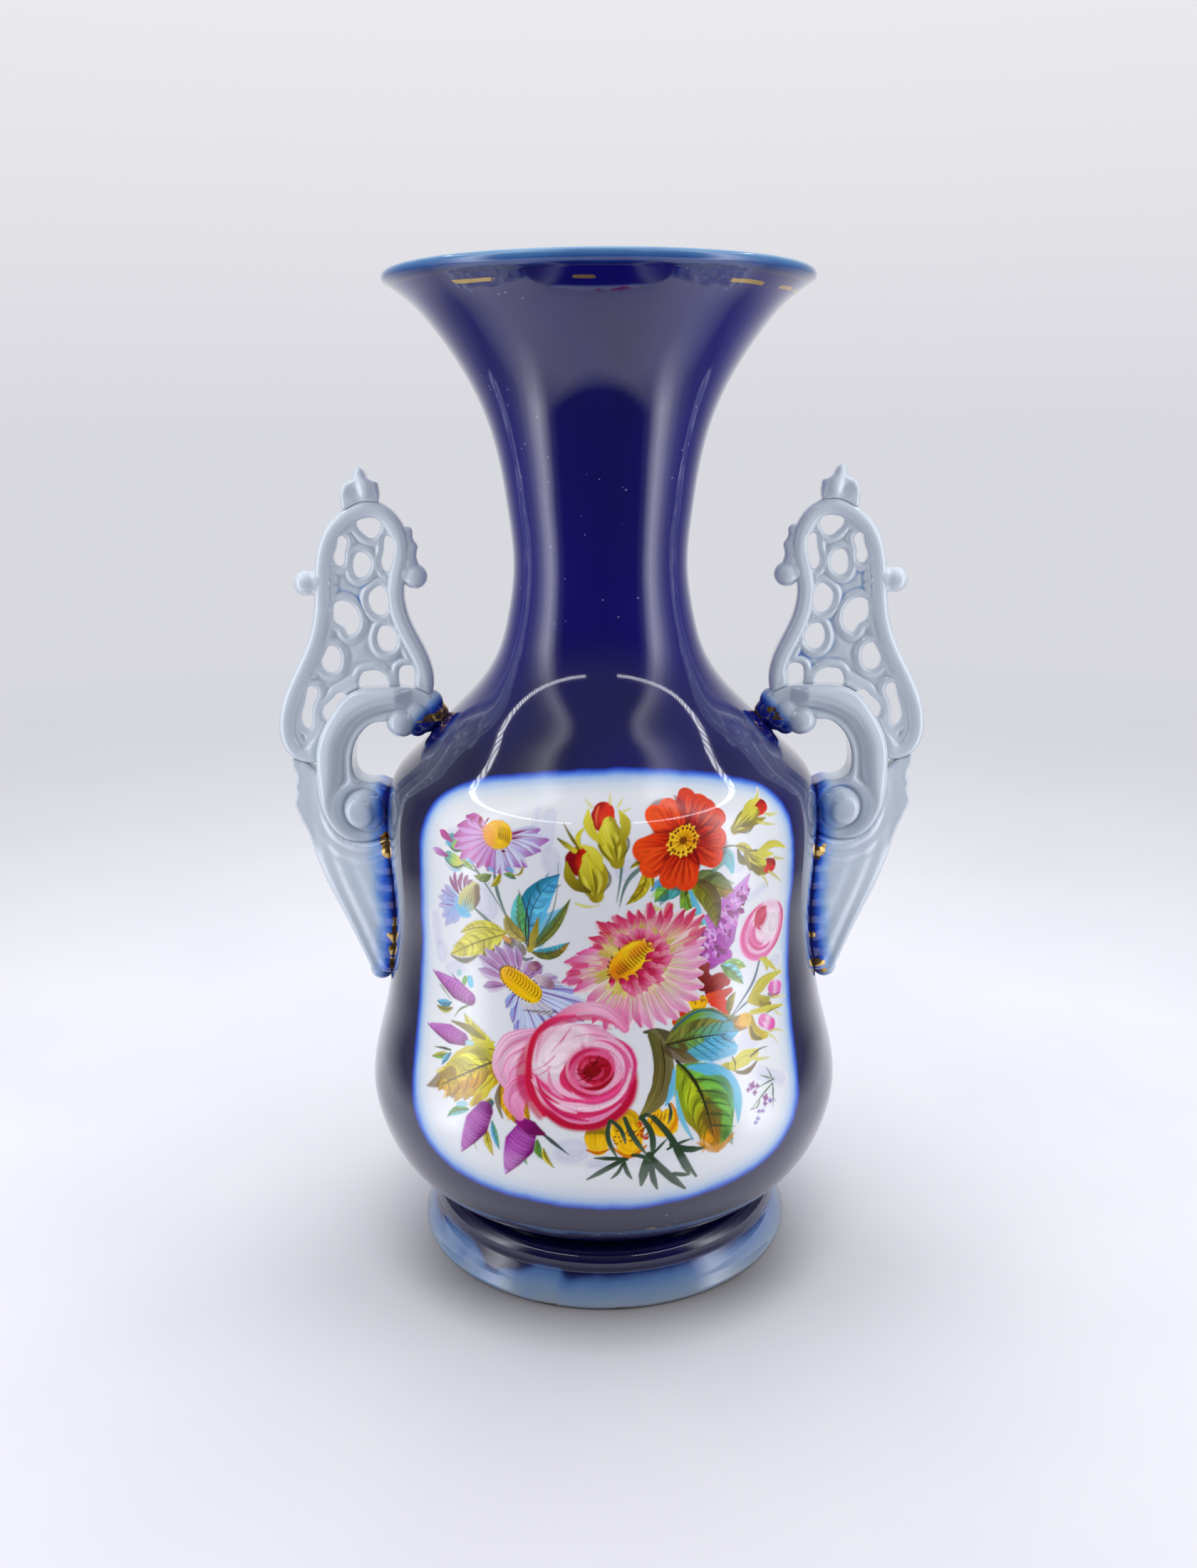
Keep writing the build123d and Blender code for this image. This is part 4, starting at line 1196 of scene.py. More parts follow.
def red_buds():
    dab(-2.4, 99, 6.4, 4.7, 86, [(232, 60, 12), (222, 40, 8)], side=(170, 18, 8), soft=0.5)
    line("-4.6,102.4 -4.9,98 -4,94.6", 0.6, (244, 116, 60), opacity=0.6)
    cup("0.4,96.4 1.4,91.4 3.4,86.4 4.6,83", 5.4, [(216, 206, 50), (206, 196, 40), (160, 144, 24)],
        (160, 144, 26))
    stroke("-8.4,101 -7.2,94.6 -1,88.6", [0.3, 1.9, 1.6, 0.5], [(222, 212, 60), (196, 184, 34)])
    stroke("3.6,102 6.6,95.6 4,88.6", [0.3, 2.1, 1.7, 0.5], [(206, 196, 44), (150, 134, 20)])
    stroke("-1.2,97.4 -0.4,93 2.6,88", [0.3, 1.3, 1.2, 0.4], [(230, 220, 80), (206, 196, 44)])
    for points in ("0,104 -0.6,109.4", "3,103 5,107.4", "4.6,101 8.4,103.4", "-7,102 -10.6,105"):
        line(points, 0.6, (220, 212, 96), opacity=0.75)
    dab(-8.4, 81.4, 6.2, 5.0, 100, [(222, 52, 10), (196, 26, 8)], side=(140, 10, 6), soft=0.5)
    stroke("-11.6,85.4 -12.4,80.6 -10.4,76.4", [0.8, 1.9, 1.5, 0.5], [WINE, (120, 6, 6)], soft=0.8)
    cup("-5.4,82.6 -3.6,78 -2.6,73 -1.4,69.4", 5.6, [(214, 204, 48), (206, 194, 36), (150, 134, 20)],
        (170, 154, 28))
    stroke("-13.6,80.4 -11,74 -4,70.6", [0.4, 2.0, 2.1, 0.7], [(170, 156, 28), (96, 82, 12)])
    stroke("-9,87.4 -4.4,85.4 -0.6,79.4", [0.3, 1.6, 2.0, 0.6], [(226, 216, 76), (206, 196, 40)])
    stroke("-6.6,84 -6.4,79 -3.4,73.4", [0.3, 1.5, 1.3, 0.4], [(222, 212, 66), (180, 166, 28)])
    line("-9.6,86 -13,89.6 -17,94.4", 0.7, (120, 110, 24))
    stroke("-8.8,86.4 -10.6,90 -8.8,93.6", [0.4, 1.1, 0.3], LEMON)
    stroke("-11,85 -14.4,86.6 -18,88.4", [0.9, 1.0, 0.3], [LEMON, OLIVE_DARK])
    line("-8.4,65.4 -4,64.8 0.6,66", 0.6, (226, 220, 130))


def right_buds():
    dab(66.2, 95.4, 5.0, 3.0, 12, [(214, 44, 18), (206, 36, 16)], side=(160, 14, 10), soft=0.5)
    cup("63.4,94.4 59,92.6 54.6,91 51,89.6", 3.9, [(216, 208, 64), (206, 196, 44), (150, 136, 26)],
        (150, 136, 34))
    stroke("68.4,98.6 62,97.4 55.6,93.6", [0.3, 1.4, 1.5, 0.5], [(226, 218, 90), (196, 184, 44)])
    stroke("67.6,91 62,90.6 55,90", [0.3, 1.3, 1.2, 0.4], [(170, 156, 30), (104, 92, 16)])
    for points in ("66,99 69,100.6 71,103", "68,92.6 72,91.4 76,91.6", "63,90.4 68,88.6 73,87.4"):
        line(points, 0.65, (212, 204, 84), opacity=0.85)
    leaf("50.6,83.6 55,82 59.6,77.6", 1.8, [(170, 160, 40)], (206, 198, 60), veins=1)
    stroke("51.6,82 53,78 57.4,75.4", [0.4, 1.7, 0.6], [OLIVE_DARK, (130, 116, 40)])
    dab(67.4, 72.4, 5.2, 3.1, -8, [(214, 42, 16), (206, 36, 16)], side=(150, 12, 8), soft=0.5)
    cup("64.6,73.6 61.4,75.4 58.4,77.4 56.4,79.4", 4.0, [(212, 204, 60), (200, 188, 40), (150, 134, 24)],
        (140, 126, 28))
    stroke("70.6,76.4 65,77.4 59.4,78.6", [0.3, 1.4, 1.3, 0.4], [(226, 218, 84), (196, 186, 40)])
    stroke("66.6,69.4 62,71.4 58,75.4", [0.3, 1.4, 1.4, 0.4], [(150, 138, 26), (96, 84, 14)])
    stroke("62,79 70,80.4 78.6,77", [0.9, 1.7, 1.2, 0.3], [(206, 198, 60), (222, 212, 84)])
    for points in ("68,70 72,67.4 77,63.6", "71,75 74.6,73.6 78.6,72.6", "64,69.6 66.6,66.6 68.6,63"):
        line(points, 0.6, (206, 198, 84), opacity=0.85)


def swirl_bud():
    middle = (67.6, 46.6)
    dab(*middle, 13.2, 12.6, 0, [(238, 196, 220), (240, 206, 224)], soft=2.2)
    dab(62.4, 45.4, 6.4, 6.0, 80, (236, 222, 228), opacity=0.9, soft=4.0)
    for r, sweep, half, tone in ((11.0, (70, -140), 2.4, (224, 110, 172)),
                                 (8.6, (60, -120), 2.2, (232, 140, 190)),
                                 (11.6, (100, -60), 1.0, (212, 66, 134)), (6.4, (60, -80), 1.6, (220, 96, 156)),
                                 (12.2, (150, 280), 1.0, (216, 70, 130)),
                                 (10.4, (175, 285), 0.8, (228, 130, 176)),
                                 (8.2, (10, -100), 0.5, (206, 50, 110)),
                                 (9.8, (-10, -130), 0.5, (244, 190, 218))):
        step = -12 if sweep[1] < sweep[0] else 12
        stroke(ring_of(middle, (r, r * 0.95), 0, range(*sweep, step)), [0.3, half, half, half * 0.8, 0.2],
               tone, soft=1.0, streak=0.6)
    dab(67.6, 52.6, 4.4, 3.2, -60, [(214, 60, 110), (200, 30, 70)], soft=1.6)
    stroke("64.4,55 67.6,55.6 70.6,51.6 69.6,47.6", [0.5, 1.6, 1.3, 0.4], [(186, 20, 50), (206, 50, 100)],
           soft=0.8)
    for k in range(5):
        line([(64.8 + k * 1.3, 52.4), (65.2 + k * 1.0, 48.6 - 0.4 * k)], 0.4, (190, 30, 80), opacity=0.6)


def hidden_red():
    stroke("38,31 37.4,35 39.4,38", [3, 4.6, 3.4, 1.4], [(120, 10, 4), (150, 16, 6)])
    stroke("41,28 45,30.4 48.6,29.6", [2.8, 4.2, 3.6, 1.6], [(120, 10, 4), (166, 24, 8), (176, 24, 10)])
    stroke("40,25 45,25 50,26", [2, 2.4, 1.2], [(226, 70, 16), (196, 40, 12)])
    stroke("42,23 46,21 48,17.6", [1.8, 2.6, 1.4], [RED, (222, 44, 6)])
    stroke("31,23 28.4,20 26,18", [2.4, 3.0, 1.6], [(196, 36, 12), (214, 60, 20)])
    dab(34, 23.6, 5.8, 3.2, 4, [(246, 196, 20), (250, 180, 10)])
    for _ in range(26):
        dab(brush.uniform(29, 39), brush.uniform(23.6, 27), 0.4, 0.3, brush.uniform(0, 180), (96, 50, 6))
    leaf("46,37 52,36 58,33.6", 2.3, [(130, 170, 60), (170, 180, 60)], (150, 200, 110), veins=1)
    leaf("45.6,37 51.4,33 56.6,27", 2.7, [(110, 160, 60), (90, 140, 50), (130, 150, 40)], (120, 196, 200),
         veins=2)


def lower_right_buds():
    stroke("66,34.6 69,33.4 70.4,29", [0.4, 1.5, 0.5], (190, 180, 40))
    stroke("66,34.6 71,31.6 76.4,27", [0.4, 1.4, 0.4], (206, 198, 70))
    stroke("60,20 68,24.6 80,25.4", [1.4, 3.0, 1.6, 0.5], [(190, 176, 30), (206, 198, 60)], soft=0.6)
    stroke("59,19.4 63,18.4 70,17", [0.8, 2.4, 1.2], [(196, 180, 30), (170, 156, 30)])
    dab(75, 20.4, 5.0, 2.9, -16, [(222, 96, 180), (236, 190, 220), (226, 110, 186)])
    stroke("70.4,19 73,17.4 78,17.4", [0.5, 1.0, 0.4], [(110, 60, 60), (190, 60, 120)], opacity=0.8)
    stroke("65,18 67,15 71,15", [0.6, 2.0, 0.8], [OLIVE, (140, 124, 24)])
    stroke("60,14.6 68,13.6 79,11.8", [1.0, 1.4, 0.4], (206, 196, 60))
    line("68,11.8 72,12.2 77,11.4", 0.35, OLIVE_DARK, opacity=0.8)
    dab(68, 8.2, 5.6, 2.9, -34, [(226, 110, 186), (240, 200, 224), (222, 70, 170)])
    stroke("59.6,12.4 60.6,6.4 66.6,3.6", [1.2, 3.0, 1.4], [(176, 150, 20), (206, 180, 24)])
    stroke("59,9 60,5 64,2.8", [0.4, 1.2, 0.4], OLIVE_DARK, opacity=0.8, soft=0.6)
    for points in ("66,4 70,2 73,-2", "67,4 72,4 79,0", "72,17 77,16 82,14.6", "74,24 78,27 80,29",
                   "73,12 76,9 78,8"):
        line(points, 0.5, (212, 204, 90), opacity=0.8)
    dab(54.6, 12.4, 5.4, 3.1, 4, [(206, 140, 10), (236, 180, 16), (226, 180, 30)])
    stroke("49.6,13.6 52,10.4 57,9.4", [0.4, 1.1, 0.4], (150, 90, 8), opacity=0.8, soft=0.6)
    leaf("49,17 49.6,21 52.4,24.6", 1.9, [OLIVE, (190, 176, 40)], (120, 104, 20), veins=1)
    stroke("42,-2.8 46,-3 49.4,-5", [0.3, 1.6, 1.0], [(214, 206, 70), OLIVE])
    stroke("49,-3.4 54,-2 60,-1.4", [2.2, 3.3, 1.6], [(214, 204, 56), (206, 196, 50)])
    stroke("50,-6.4 54,-7.4 60,-5", [0.5, 1.2, 0.3], (104, 84, 20))
    line("57,-2.4 62,-0.8 66.4,-1", 0.5, MOSS)
    line("57,-3 62,-4.6 67,-5.6", 0.7, (210, 202, 90))
    line("48.6,0 49.6,-3 48.8,-6", 0.35, OLIVE_DARK)


def violet_sprig():
    green = (96, 124, 96)
    for points in ("50,-16 54,-15.4 59,-15", "52,-17 58,-18.6 65,-21.4", "51.6,-17 53,-21 55,-25.4",
                   "51,-16 51.4,-13 52.4,-9.6", "52,-14.6 54,-13 56.2,-11", "60,-20 62,-21.6 65,-21",
                   "52,-19 53.4,-22 53,-24"):
        line(points, 0.42, green)
    for x, y, size in ((61.2, -13, 1.5), (59, -14.2, 0.9), (63.4, -13.6, 0.9), (61, -16, 1.0),
                       (57, -20.4, 1.4), (58, -22.4, 1.0), (55.4, -22.6, 0.9)):
        for a in range(0, 360, 90):
            b = radians(a + 30 * size)
            dab(x + size * 0.6 * cos(b), y + size * 0.6 * sin(b), size * 0.7, size * 0.5,
                a + 30 * size, [(130, 56, 122), (166, 110, 176)])
    for x, y in path("61.6,-23.6 63,-26 60,-24.4 64.4,-27 55,-22.6"):
        dab(x, y, 1.2, 0.8, 40, (160, 140, 206), opacity=0.9)
        dab(x + 0.3, y, 0.5, 0.4, 0, (90, 60, 140))


def big_leaves():
    stroke("13.6,15.4 18,15 22,13", [0.5, 1.6, 2.2], (84, 80, 50))
    stroke("17,14 20,6 19.4,-6 11,-17", [2.2, 3.6, 4.2, 3.4, 0.8],
           [MOSS, (98, 88, 44), (110, 100, 50), (140, 130, 60)], side=(120, 112, 70))
    stroke("24.4,0 23.4,-7 20.4,-13", [0.5, 1.6, 0.4], SKY, opacity=0.95)
    line("19.6,12 20.8,3 19,-8", 0.3, (50, 44, 16))
    leaf("21.4,10 36,11.6 53,9", 10.4, [(84, 70, 40), (110, 160, 70), SKY, (96, 184, 222)], (124, 128, 52),
         veins=5)
    stroke("24,14.6 36,19.6 47,15", [0.6, 1.9, 0.6], [(84, 80, 40), (120, 170, 40), SKY], opacity=0.9, soft=0.8)
    stroke("30,5 38,4.6 49,3", [1.4, 4.6, 2.6], [(84, 170, 190), SKY, (104, 190, 226)], opacity=0.9, soft=1.0)
    stroke("33,13 41,12.4 49,12.4", [0.6, 2.4, 1.6], [(104, 160, 60), (84, 176, 200)], opacity=0.85, soft=1.0)
    stroke("22,8 27,5 33,1.4", [1.6, 2.8, 1.0], [(80, 66, 38), (120, 96, 40)], opacity=0.9, soft=0.8)
    line("25,15.6 35,20.6 44,18.4 50,13", 0.4, (40, 96, 130))
    for k in range(5):
        line([(30 + 3.6 * k, 9.4), (34 + 3.6 * k, 6), (40 + 2.6 * k, 0.6 + 1.1 * k)], 0.28, (30, 84, 104),
             opacity=0.85)
        line([(28 + 3.8 * k, 11), (32 + 3.6 * k, 14.4), (36 + 3.2 * k, 17 - 0.6 * k)], 0.25, (70, 64, 24),
             opacity=0.8)
    line("22,9.6 34,10.6 47,9.4", 0.5, (56, 52, 26))
    leaf("25.4,1.6 36,-14 38.4,-34.6", 10.8, [(150, 176, 30), (156, 170, 30), (150, 130, 26), (196, 130, 22)],
         (96, 160, 60), veins=0)
    stroke("30,0 41,-4 48,-14 47.6,-25", [0.6, 2.6, 3.2, 2.4, 0.4], [SKY, (96, 190, 230), (90, 186, 210)],
           opacity=0.95, soft=0.9)
    stroke("36,-5 44,-9 46,-20", [0.6, 1.9, 1.4, 0.4], [(110, 180, 60), (70, 130, 50), (96, 176, 110)],
           opacity=0.9, soft=0.8)
    stroke("24.6,-8 25.6,-18 29.4,-27.6", [0.3, 1.1, 0.3], (110, 196, 226), opacity=0.95)
    stroke("36.4,-14 37.4,-22 38.4,-30", [1.4, 4.4, 3.0, 0.8], [(96, 88, 20), (112, 84, 26), (170, 110, 20)],
           opacity=0.85, soft=1.6)
    stroke("31,-29 37.6,-33 45,-29", [0.4, 1.5, 0.4], (206, 140, 20), opacity=0.9, soft=0.8)
    for k in range(5):
        line([(28.4 + 1.8 * k, -2.6 - 5 * k), (27 + 1.6 * k, -8 - 5 * k), (27.4 + 1.5 * k, -14 - 4.4 * k)],
             0.3, (96, 100, 16), opacity=0.85)
        line([(31 + 1.4 * k, -5 - 4.6 * k), (38 + 0.8 * k, -6.4 - 4.6 * k), (44 + 0.5 * k, -9.6 - 4.2 * k)],
             0.45, (50, 70, 34), opacity=0.85)
    line("25.4,3 30.4,-3 34,-11 37,-27", 0.7, (40, 44, 20))


def strawflower():
    middle = (12, 43)
    tips = path("-11,62 -7,64.4 -2.6,64 2.6,66 6.4,63 10.6,66 14.6,62.6 18,62 22,60 24.6,57 28.6,56.6 "
                "27,52.6 30.4,50 29.6,46 34,43 38,39 36,35.6 38,31 33,28.6 28,23 24.6,18 20,15.6 16,17.4 "
                "12,17 7,18.6 2.6,17.6 -2.4,20 -7,21.6 -11.4,24.6 -14.4,29.4 -15.6,34 -14.6,39 -15.4,44 "
                "-13.6,48.6 -13.6,52.6 -12.6,57.4")
    for tip in tips:
        angle = degrees(atan2(tip[1] - middle[1], tip[0] - middle[0])) % 360
        base = (middle[0] * 0.62 + tip[0] * 0.38, middle[1] * 0.62 + tip[1] * 0.38)
        if 20 < angle < 152:
            colours = [(226, 206, 110), (232, 190, 170), (214, 74, 118), (200, 36, 84)]
        elif 152 <= angle < 250:
            colours = [(228, 210, 150), (234, 200, 202), (228, 160, 194), (222, 130, 178)]
        else:
            colours = [(232, 218, 130), (236, 200, 196), (226, 130, 174), (216, 76, 144)]
        petal(base, tip, 2.9, colours, bow=0.03, side=(240, 218, 220), streak=0.4)
    for tip in tips:
        angle = degrees(atan2(tip[1] - middle[1], tip[0] - middle[0])) % 360
        for spread in (-3, 1, 4):
            reach = hypot(tip[0] - middle[0], tip[1] - middle[1]) * brush.uniform(0.66, 0.92)
            far = on_ring(middle, (reach, reach), 0, angle + spread)
            near = on_ring(middle, (13.5, 13.5), 0, angle + spread)
            tone = brush.choice([(216, 100, 140), (200, 194, 80), (196, 150, 120), (224, 120, 160)])
            line([near, far], 0.3, tone, opacity=0.7)
    for x, y, rx, turn, tone in ((3.6, 64, 3.4, 96, CRIMSON), (10.4, 63.4, 3.4, 80, (206, 40, 96)),
                                 (-6, 60.6, 3, 118, (206, 44, 80)),
                                 (22, 58.4, 2.6, 50, (212, 60, 110)), (25.6, 54.4, 3, 36, (206, 50, 80)),
                                 (-8.6, 56, 2.8, 130, (214, 60, 96)),
                                 (33, 39, 3.6, -8, (214, 60, 110)), (34, 32, 3.2, -24, (206, 40, 120)),
                                 (17, 60, 2.6, 72, (206, 40, 96)),
                                 (-8, 51, 3, 165, (220, 80, 130)), (27, 47.4, 2.4, 16, (200, 40, 80)),
                                 (35, 35.4, 3, -20, (206, 50, 96))):
        dab(x, y, rx, 1.2, turn, tone, opacity=0.8, soft=0.8)
    dab(12.6, 42.6, 13.6, 11.6, -45, (226, 210, 110), opacity=0.75, soft=5.0)
    for a in range(0, 360, 8):
        reach = brush.uniform(12.5, 17)
        near = on_ring((13, 43), (8.6, 7.6), -45, a)
        far = on_ring((12.6, 42.6), (reach, reach * 0.86), -45, a + brush.uniform(-5, 5))
        tone = brush.choice([(222, 206, 96), (206, 180, 60), (232, 190, 150), (190, 170, 50), (226, 110, 140)])
        petal(near, far, 1.0, [tone, tone], opacity=0.75)
    for k, a in enumerate(range(96, 330, 10)):
        reach = 10.6 + 2.6 * brush.random()
        near = on_ring((13, 43.4), (7.4, 5.6), -45, a)
        far = on_ring((12.4, 42.6), (reach + 1.6, reach), -45, a - 12)
        colours = [(170, 14, 50), (206, 40, 90), (230, 120, 160)] if k % 3 else [(196, 30, 60), (232, 150, 170)]
        petal(near, far, 1.7, colours, bow=0.14)
    dab(14.4, 43.2, 9.6, 6.2, -50, [(250, 206, 20), (250, 192, 6), (240, 168, 8)], soft=0.7)
    dab(12, 47.6, 4.6, 2.2, -50, (240, 130, 14), opacity=0.7, soft=1.6)
    dab(18.4, 38.6, 4.4, 2.6, -50, (222, 120, 6), opacity=0.8, soft=1.6)
    for k in range(13):
        x, y = 8.4 + 0.82 * k, 49.8 - 0.96 * k
        half = 3.6 - 0.06 * (k - 6) ** 2
        line([(x - half * 0.5, y - half * 0.5), (x + 0.5, y - 0.1), (x + half * 0.62, y + half * 0.5)], 0.34,
             (96, 54, 4), opacity=0.85)
    for x, y in ring_of((14.4, 43.2), (9.8, 6.4), -50, range(0, 360, 13)):
        dab(x, y, 0.8, 0.4, brush.uniform(0, 180),
            [brush.choice([(110, 50, 6), (206, 130, 8), (252, 216, 60)])], opacity=0.9)
    for near, far, half in (((4.4, 47), (8.6, 44.4), 1.5), ((5, 42.4), (9.4, 41.2), 1.6),
                            ((7, 38), (11.4, 38.8), 1.6),
                            ((10.6, 34.6), (14, 37), 1.5), ((15, 32.6), (17.4, 35.6), 1.4),
                            ((20, 32.4), (20.8, 35.4), 1.3)):
        petal(near, far, half, [(232, 120, 160), (206, 36, 84), (160, 14, 50)], bow=0.1)


def cabbage_rose():
    stroke("2,13 10,9.4 13.6,1.4 10.4,-5", [4.6, 6.4, 5.6, 3.2],
           [(234, 160, 198), (240, 194, 216), (232, 150, 192)], soft=0.7)
    stroke("3,-3 10,-9.4 8.4,-16", [4, 5.6, 4.4, 1.6], [(222, 70, 136), (236, 160, 200), (232, 130, 180)],
           soft=0.7)
    for points in ("4,14 12,10 17.6,3", "5,10 12,6 15.4,-2", "6,-4 12,-9 11.4,-16", "5,5 11,1 12.6,-4"):
        line(points, 0.5, (222, 84, 146), opacity=0.55)
    stroke("2,14 6.4,5 6.4,-6 1,-16", [0.8, 2.0, 2.4, 1.0], [(206, 30, 90), (196, 20, 80)], opacity=0.8,
           soft=2.0)
    dab(-15, 0, 21, 20.6, 90, [(240, 178, 206), (238, 164, 198)], soft=0.8)
    stroke("-33,15 -26,22.6 -15,23.8 -6,20", [1.6, 3.2, 2.8, 1.2],
           [(236, 130, 176), (240, 182, 208), (228, 84, 140)], soft=0.8)
    for r, sweep, half, tone, soft in ((19.4, (176, 336), 2.6, (206, 26, 76), 2.0),
                                       (16.6, (186, 330), 2.0, (226, 84, 144), 2.0),
                                       (19.2, (150, 196), 1.8, (226, 70, 136), 1.4),
                                       (20.0, (196, 320), 1.3, (190, 14, 56), 0.9)):
        stroke(ring_of((-15, 0), (r, r * 0.985), 0, range(*sweep, 12)), [0.5, half, half, half, 0.6], tone,
               soft=soft, streak=0.6)
    dab(-8.4, 8.6, 14.4, 11.0, -24, [(238, 208, 220), (240, 218, 228)], soft=3.0)
    stroke("-15,22 -5,19.6 1.6,13 4.2,4 3.8,-6 -0.6,-15", [0.5, 1.5, 1.5, 1.3, 1.7, 1.0],
           [(222, 60, 120), CRIMSON, (200, 18, 60), (206, 24, 66)], soft=1.2, streak=0.6)
    stroke("-29,17.6 -24,20.2 -14,20.6 -6,18.4", [0.4, 1.1, 1.1, 0.4], [(222, 60, 120), (206, 30, 90)],
           opacity=0.8, soft=0.8)
    stroke("-10,19 -2,13.6 1.6,5", [0.4, 1.8, 0.5], (236, 166, 198), opacity=0.7, soft=2.0)
    dab(-20, 1.4, 11.6, 10.0, -20, (230, 96, 146), soft=4.0)
    dab(-20, 1.0, 8.0, 6.6, -30, (200, 24, 62), soft=2.6)
    dab(-20.2, 0.6, 4.8, 4.0, -30, (138, 6, 18), soft=1.8)
    for r, sweep, half, tone in ((3.6, (190, 330), 0.6, (206, 50, 90)), (4.4, (10, 140), 0.7, (214, 60, 100)),
                                 (5.6, (130, 270), 0.8, (170, 10, 34)),
                                 (6.4, (-70, 60), 0.9, (230, 120, 160)), (7.4, (80, 210), 1.0, (226, 90, 140)),
                                 (7.8, (210, 340), 0.9, (160, 8, 30)),
                                 (8.8, (20, 130), 0.9, (206, 40, 90)), (9.4, (150, 290), 1.1, (240, 170, 200)),
                                 (10.6, (-80, 40), 0.9, (206, 36, 84)),
                                 (11.0, (90, 220), 1.1, (240, 190, 212)),
                                 (11.6, (220, 330), 1.0, (216, 50, 110)),
                                 (12.8, (120, 260), 1.1, (228, 96, 150)),
                                 (13.8, (200, 310), 0.9, (242, 196, 216)),
                                 (14.4, (100, 210), 1.0, (240, 178, 206)),
                                 (15.4, (140, 240), 0.7, (216, 56, 120))):
        stroke(ring_of((-19.6, 0.8), (r, r * 0.88), -14, range(*sweep, 13)),
               [0.2, half, half, half * 0.7, 0.15], tone, soft=0.7, streak=0.6)
    for _ in range(9):
        a = brush.uniform(-60, 200)
        near = on_ring((-20, 0.8), (2.4, 2.0), -20, a)
        far = on_ring((-20, 0.8), (6.6 + 2 * brush.random(), 5.6), -20, a + 22)
        line([near, far], 0.45, brush.choice([(96, 2, 8), (120, 4, 14), (190, 20, 50)]), opacity=0.75)
    for points, half, tone in (
        ("-31,-4 -26,-9 -19,-11 -10,-9", 1.2, (224, 70, 132)),
        ("-31,-7 -25,-12 -16,-13.4 -7,-11", 1.2, (242, 200, 218)),
        ("-30.4,-9.6 -23,-14.8 -14,-15.6 -5,-12.6", 1.3, (214, 44, 100)),
        ("-28,-13 -20,-17.2 -10,-17 -1,-10", 1.1, (234, 140, 184)),
        ("-15,-11 -6,-8 0,-3 3.4,1", 1.1, (224, 60, 124)),
        ("-12,-14.6 -4,-11 1,-6 3.4,-2", 0.9, (242, 196, 216)),
        ("-16,-18 -7,-14.6 -1,-9 2.4,-4", 1.0, (212, 36, 100)),
        ("-11,-7 -8,-2 -9.6,3", 1.1, (214, 44, 100)),
        ("-8,-9 -3.6,-4 -3.4,2", 1.0, (238, 150, 186)),
        ("-6,-11 0,-6 1.6,0", 0.7, (206, 30, 84)),
    ):
        stroke(points, [0.25, half, half * 0.9, 0.15], tone, soft=0.8, streak=0.6)
    for points in ("-13,17.4 -9,13 -5,8.6", "-11,15 -8,11", "-6,7 -1,3 3,1.4", "-2,15 0,11 1,6",
                   "-4,3 0,0 3,-1", "-28,15.6 -20,18.2 -12,18", "-26,12.6 -19,14.6 -13,13.6"):
        line(points, 0.32, (224, 96, 154), opacity=0.75)


def purple_bud(base, tip, half):
    """A tight bud of curled florets, dark on one side, that thins to a pale tip."""
    start, end = np.array(base, float), np.array(tip, float)
    run = end - start
    ahead, aside, reach = heading(base, tip)
    stroke([start, start + run * 0.35, start + run * 0.7, end], [half * 0.7, half, half * 0.62, 0.4],
           [(140, 30, 140), (168, 60, 170), (190, 110, 200), (206, 170, 222)], side=(120, 16, 110), soft=0.8)
    for k in range(11):
        share = 0.04 + 0.078 * k
        wide = half * (1.0 - 0.95 * max(share - 0.25, 0)) * (0.86 if share > 0.1 else 0.7)
        centre = start + run * share
        for lift, tone in ((0.0, (214, 130, 214)), (0.55, (112, 12, 104)), (1.0, (186, 80, 188))):
            shift = ahead * reach * 0.035 * (lift - 0.3)
            stroke([centre + shift - aside * wide * 0.9 - ahead * 0.5, centre + shift + ahead * reach * 0.045,
                    centre + shift + aside * wide * 0.9 - ahead * 0.3],
                   [0.12, 0.12 * half + 0.14, 0.12], tone, opacity=brush.uniform(0.25, 0.6), soft=0.6,
                   streak=0.6)


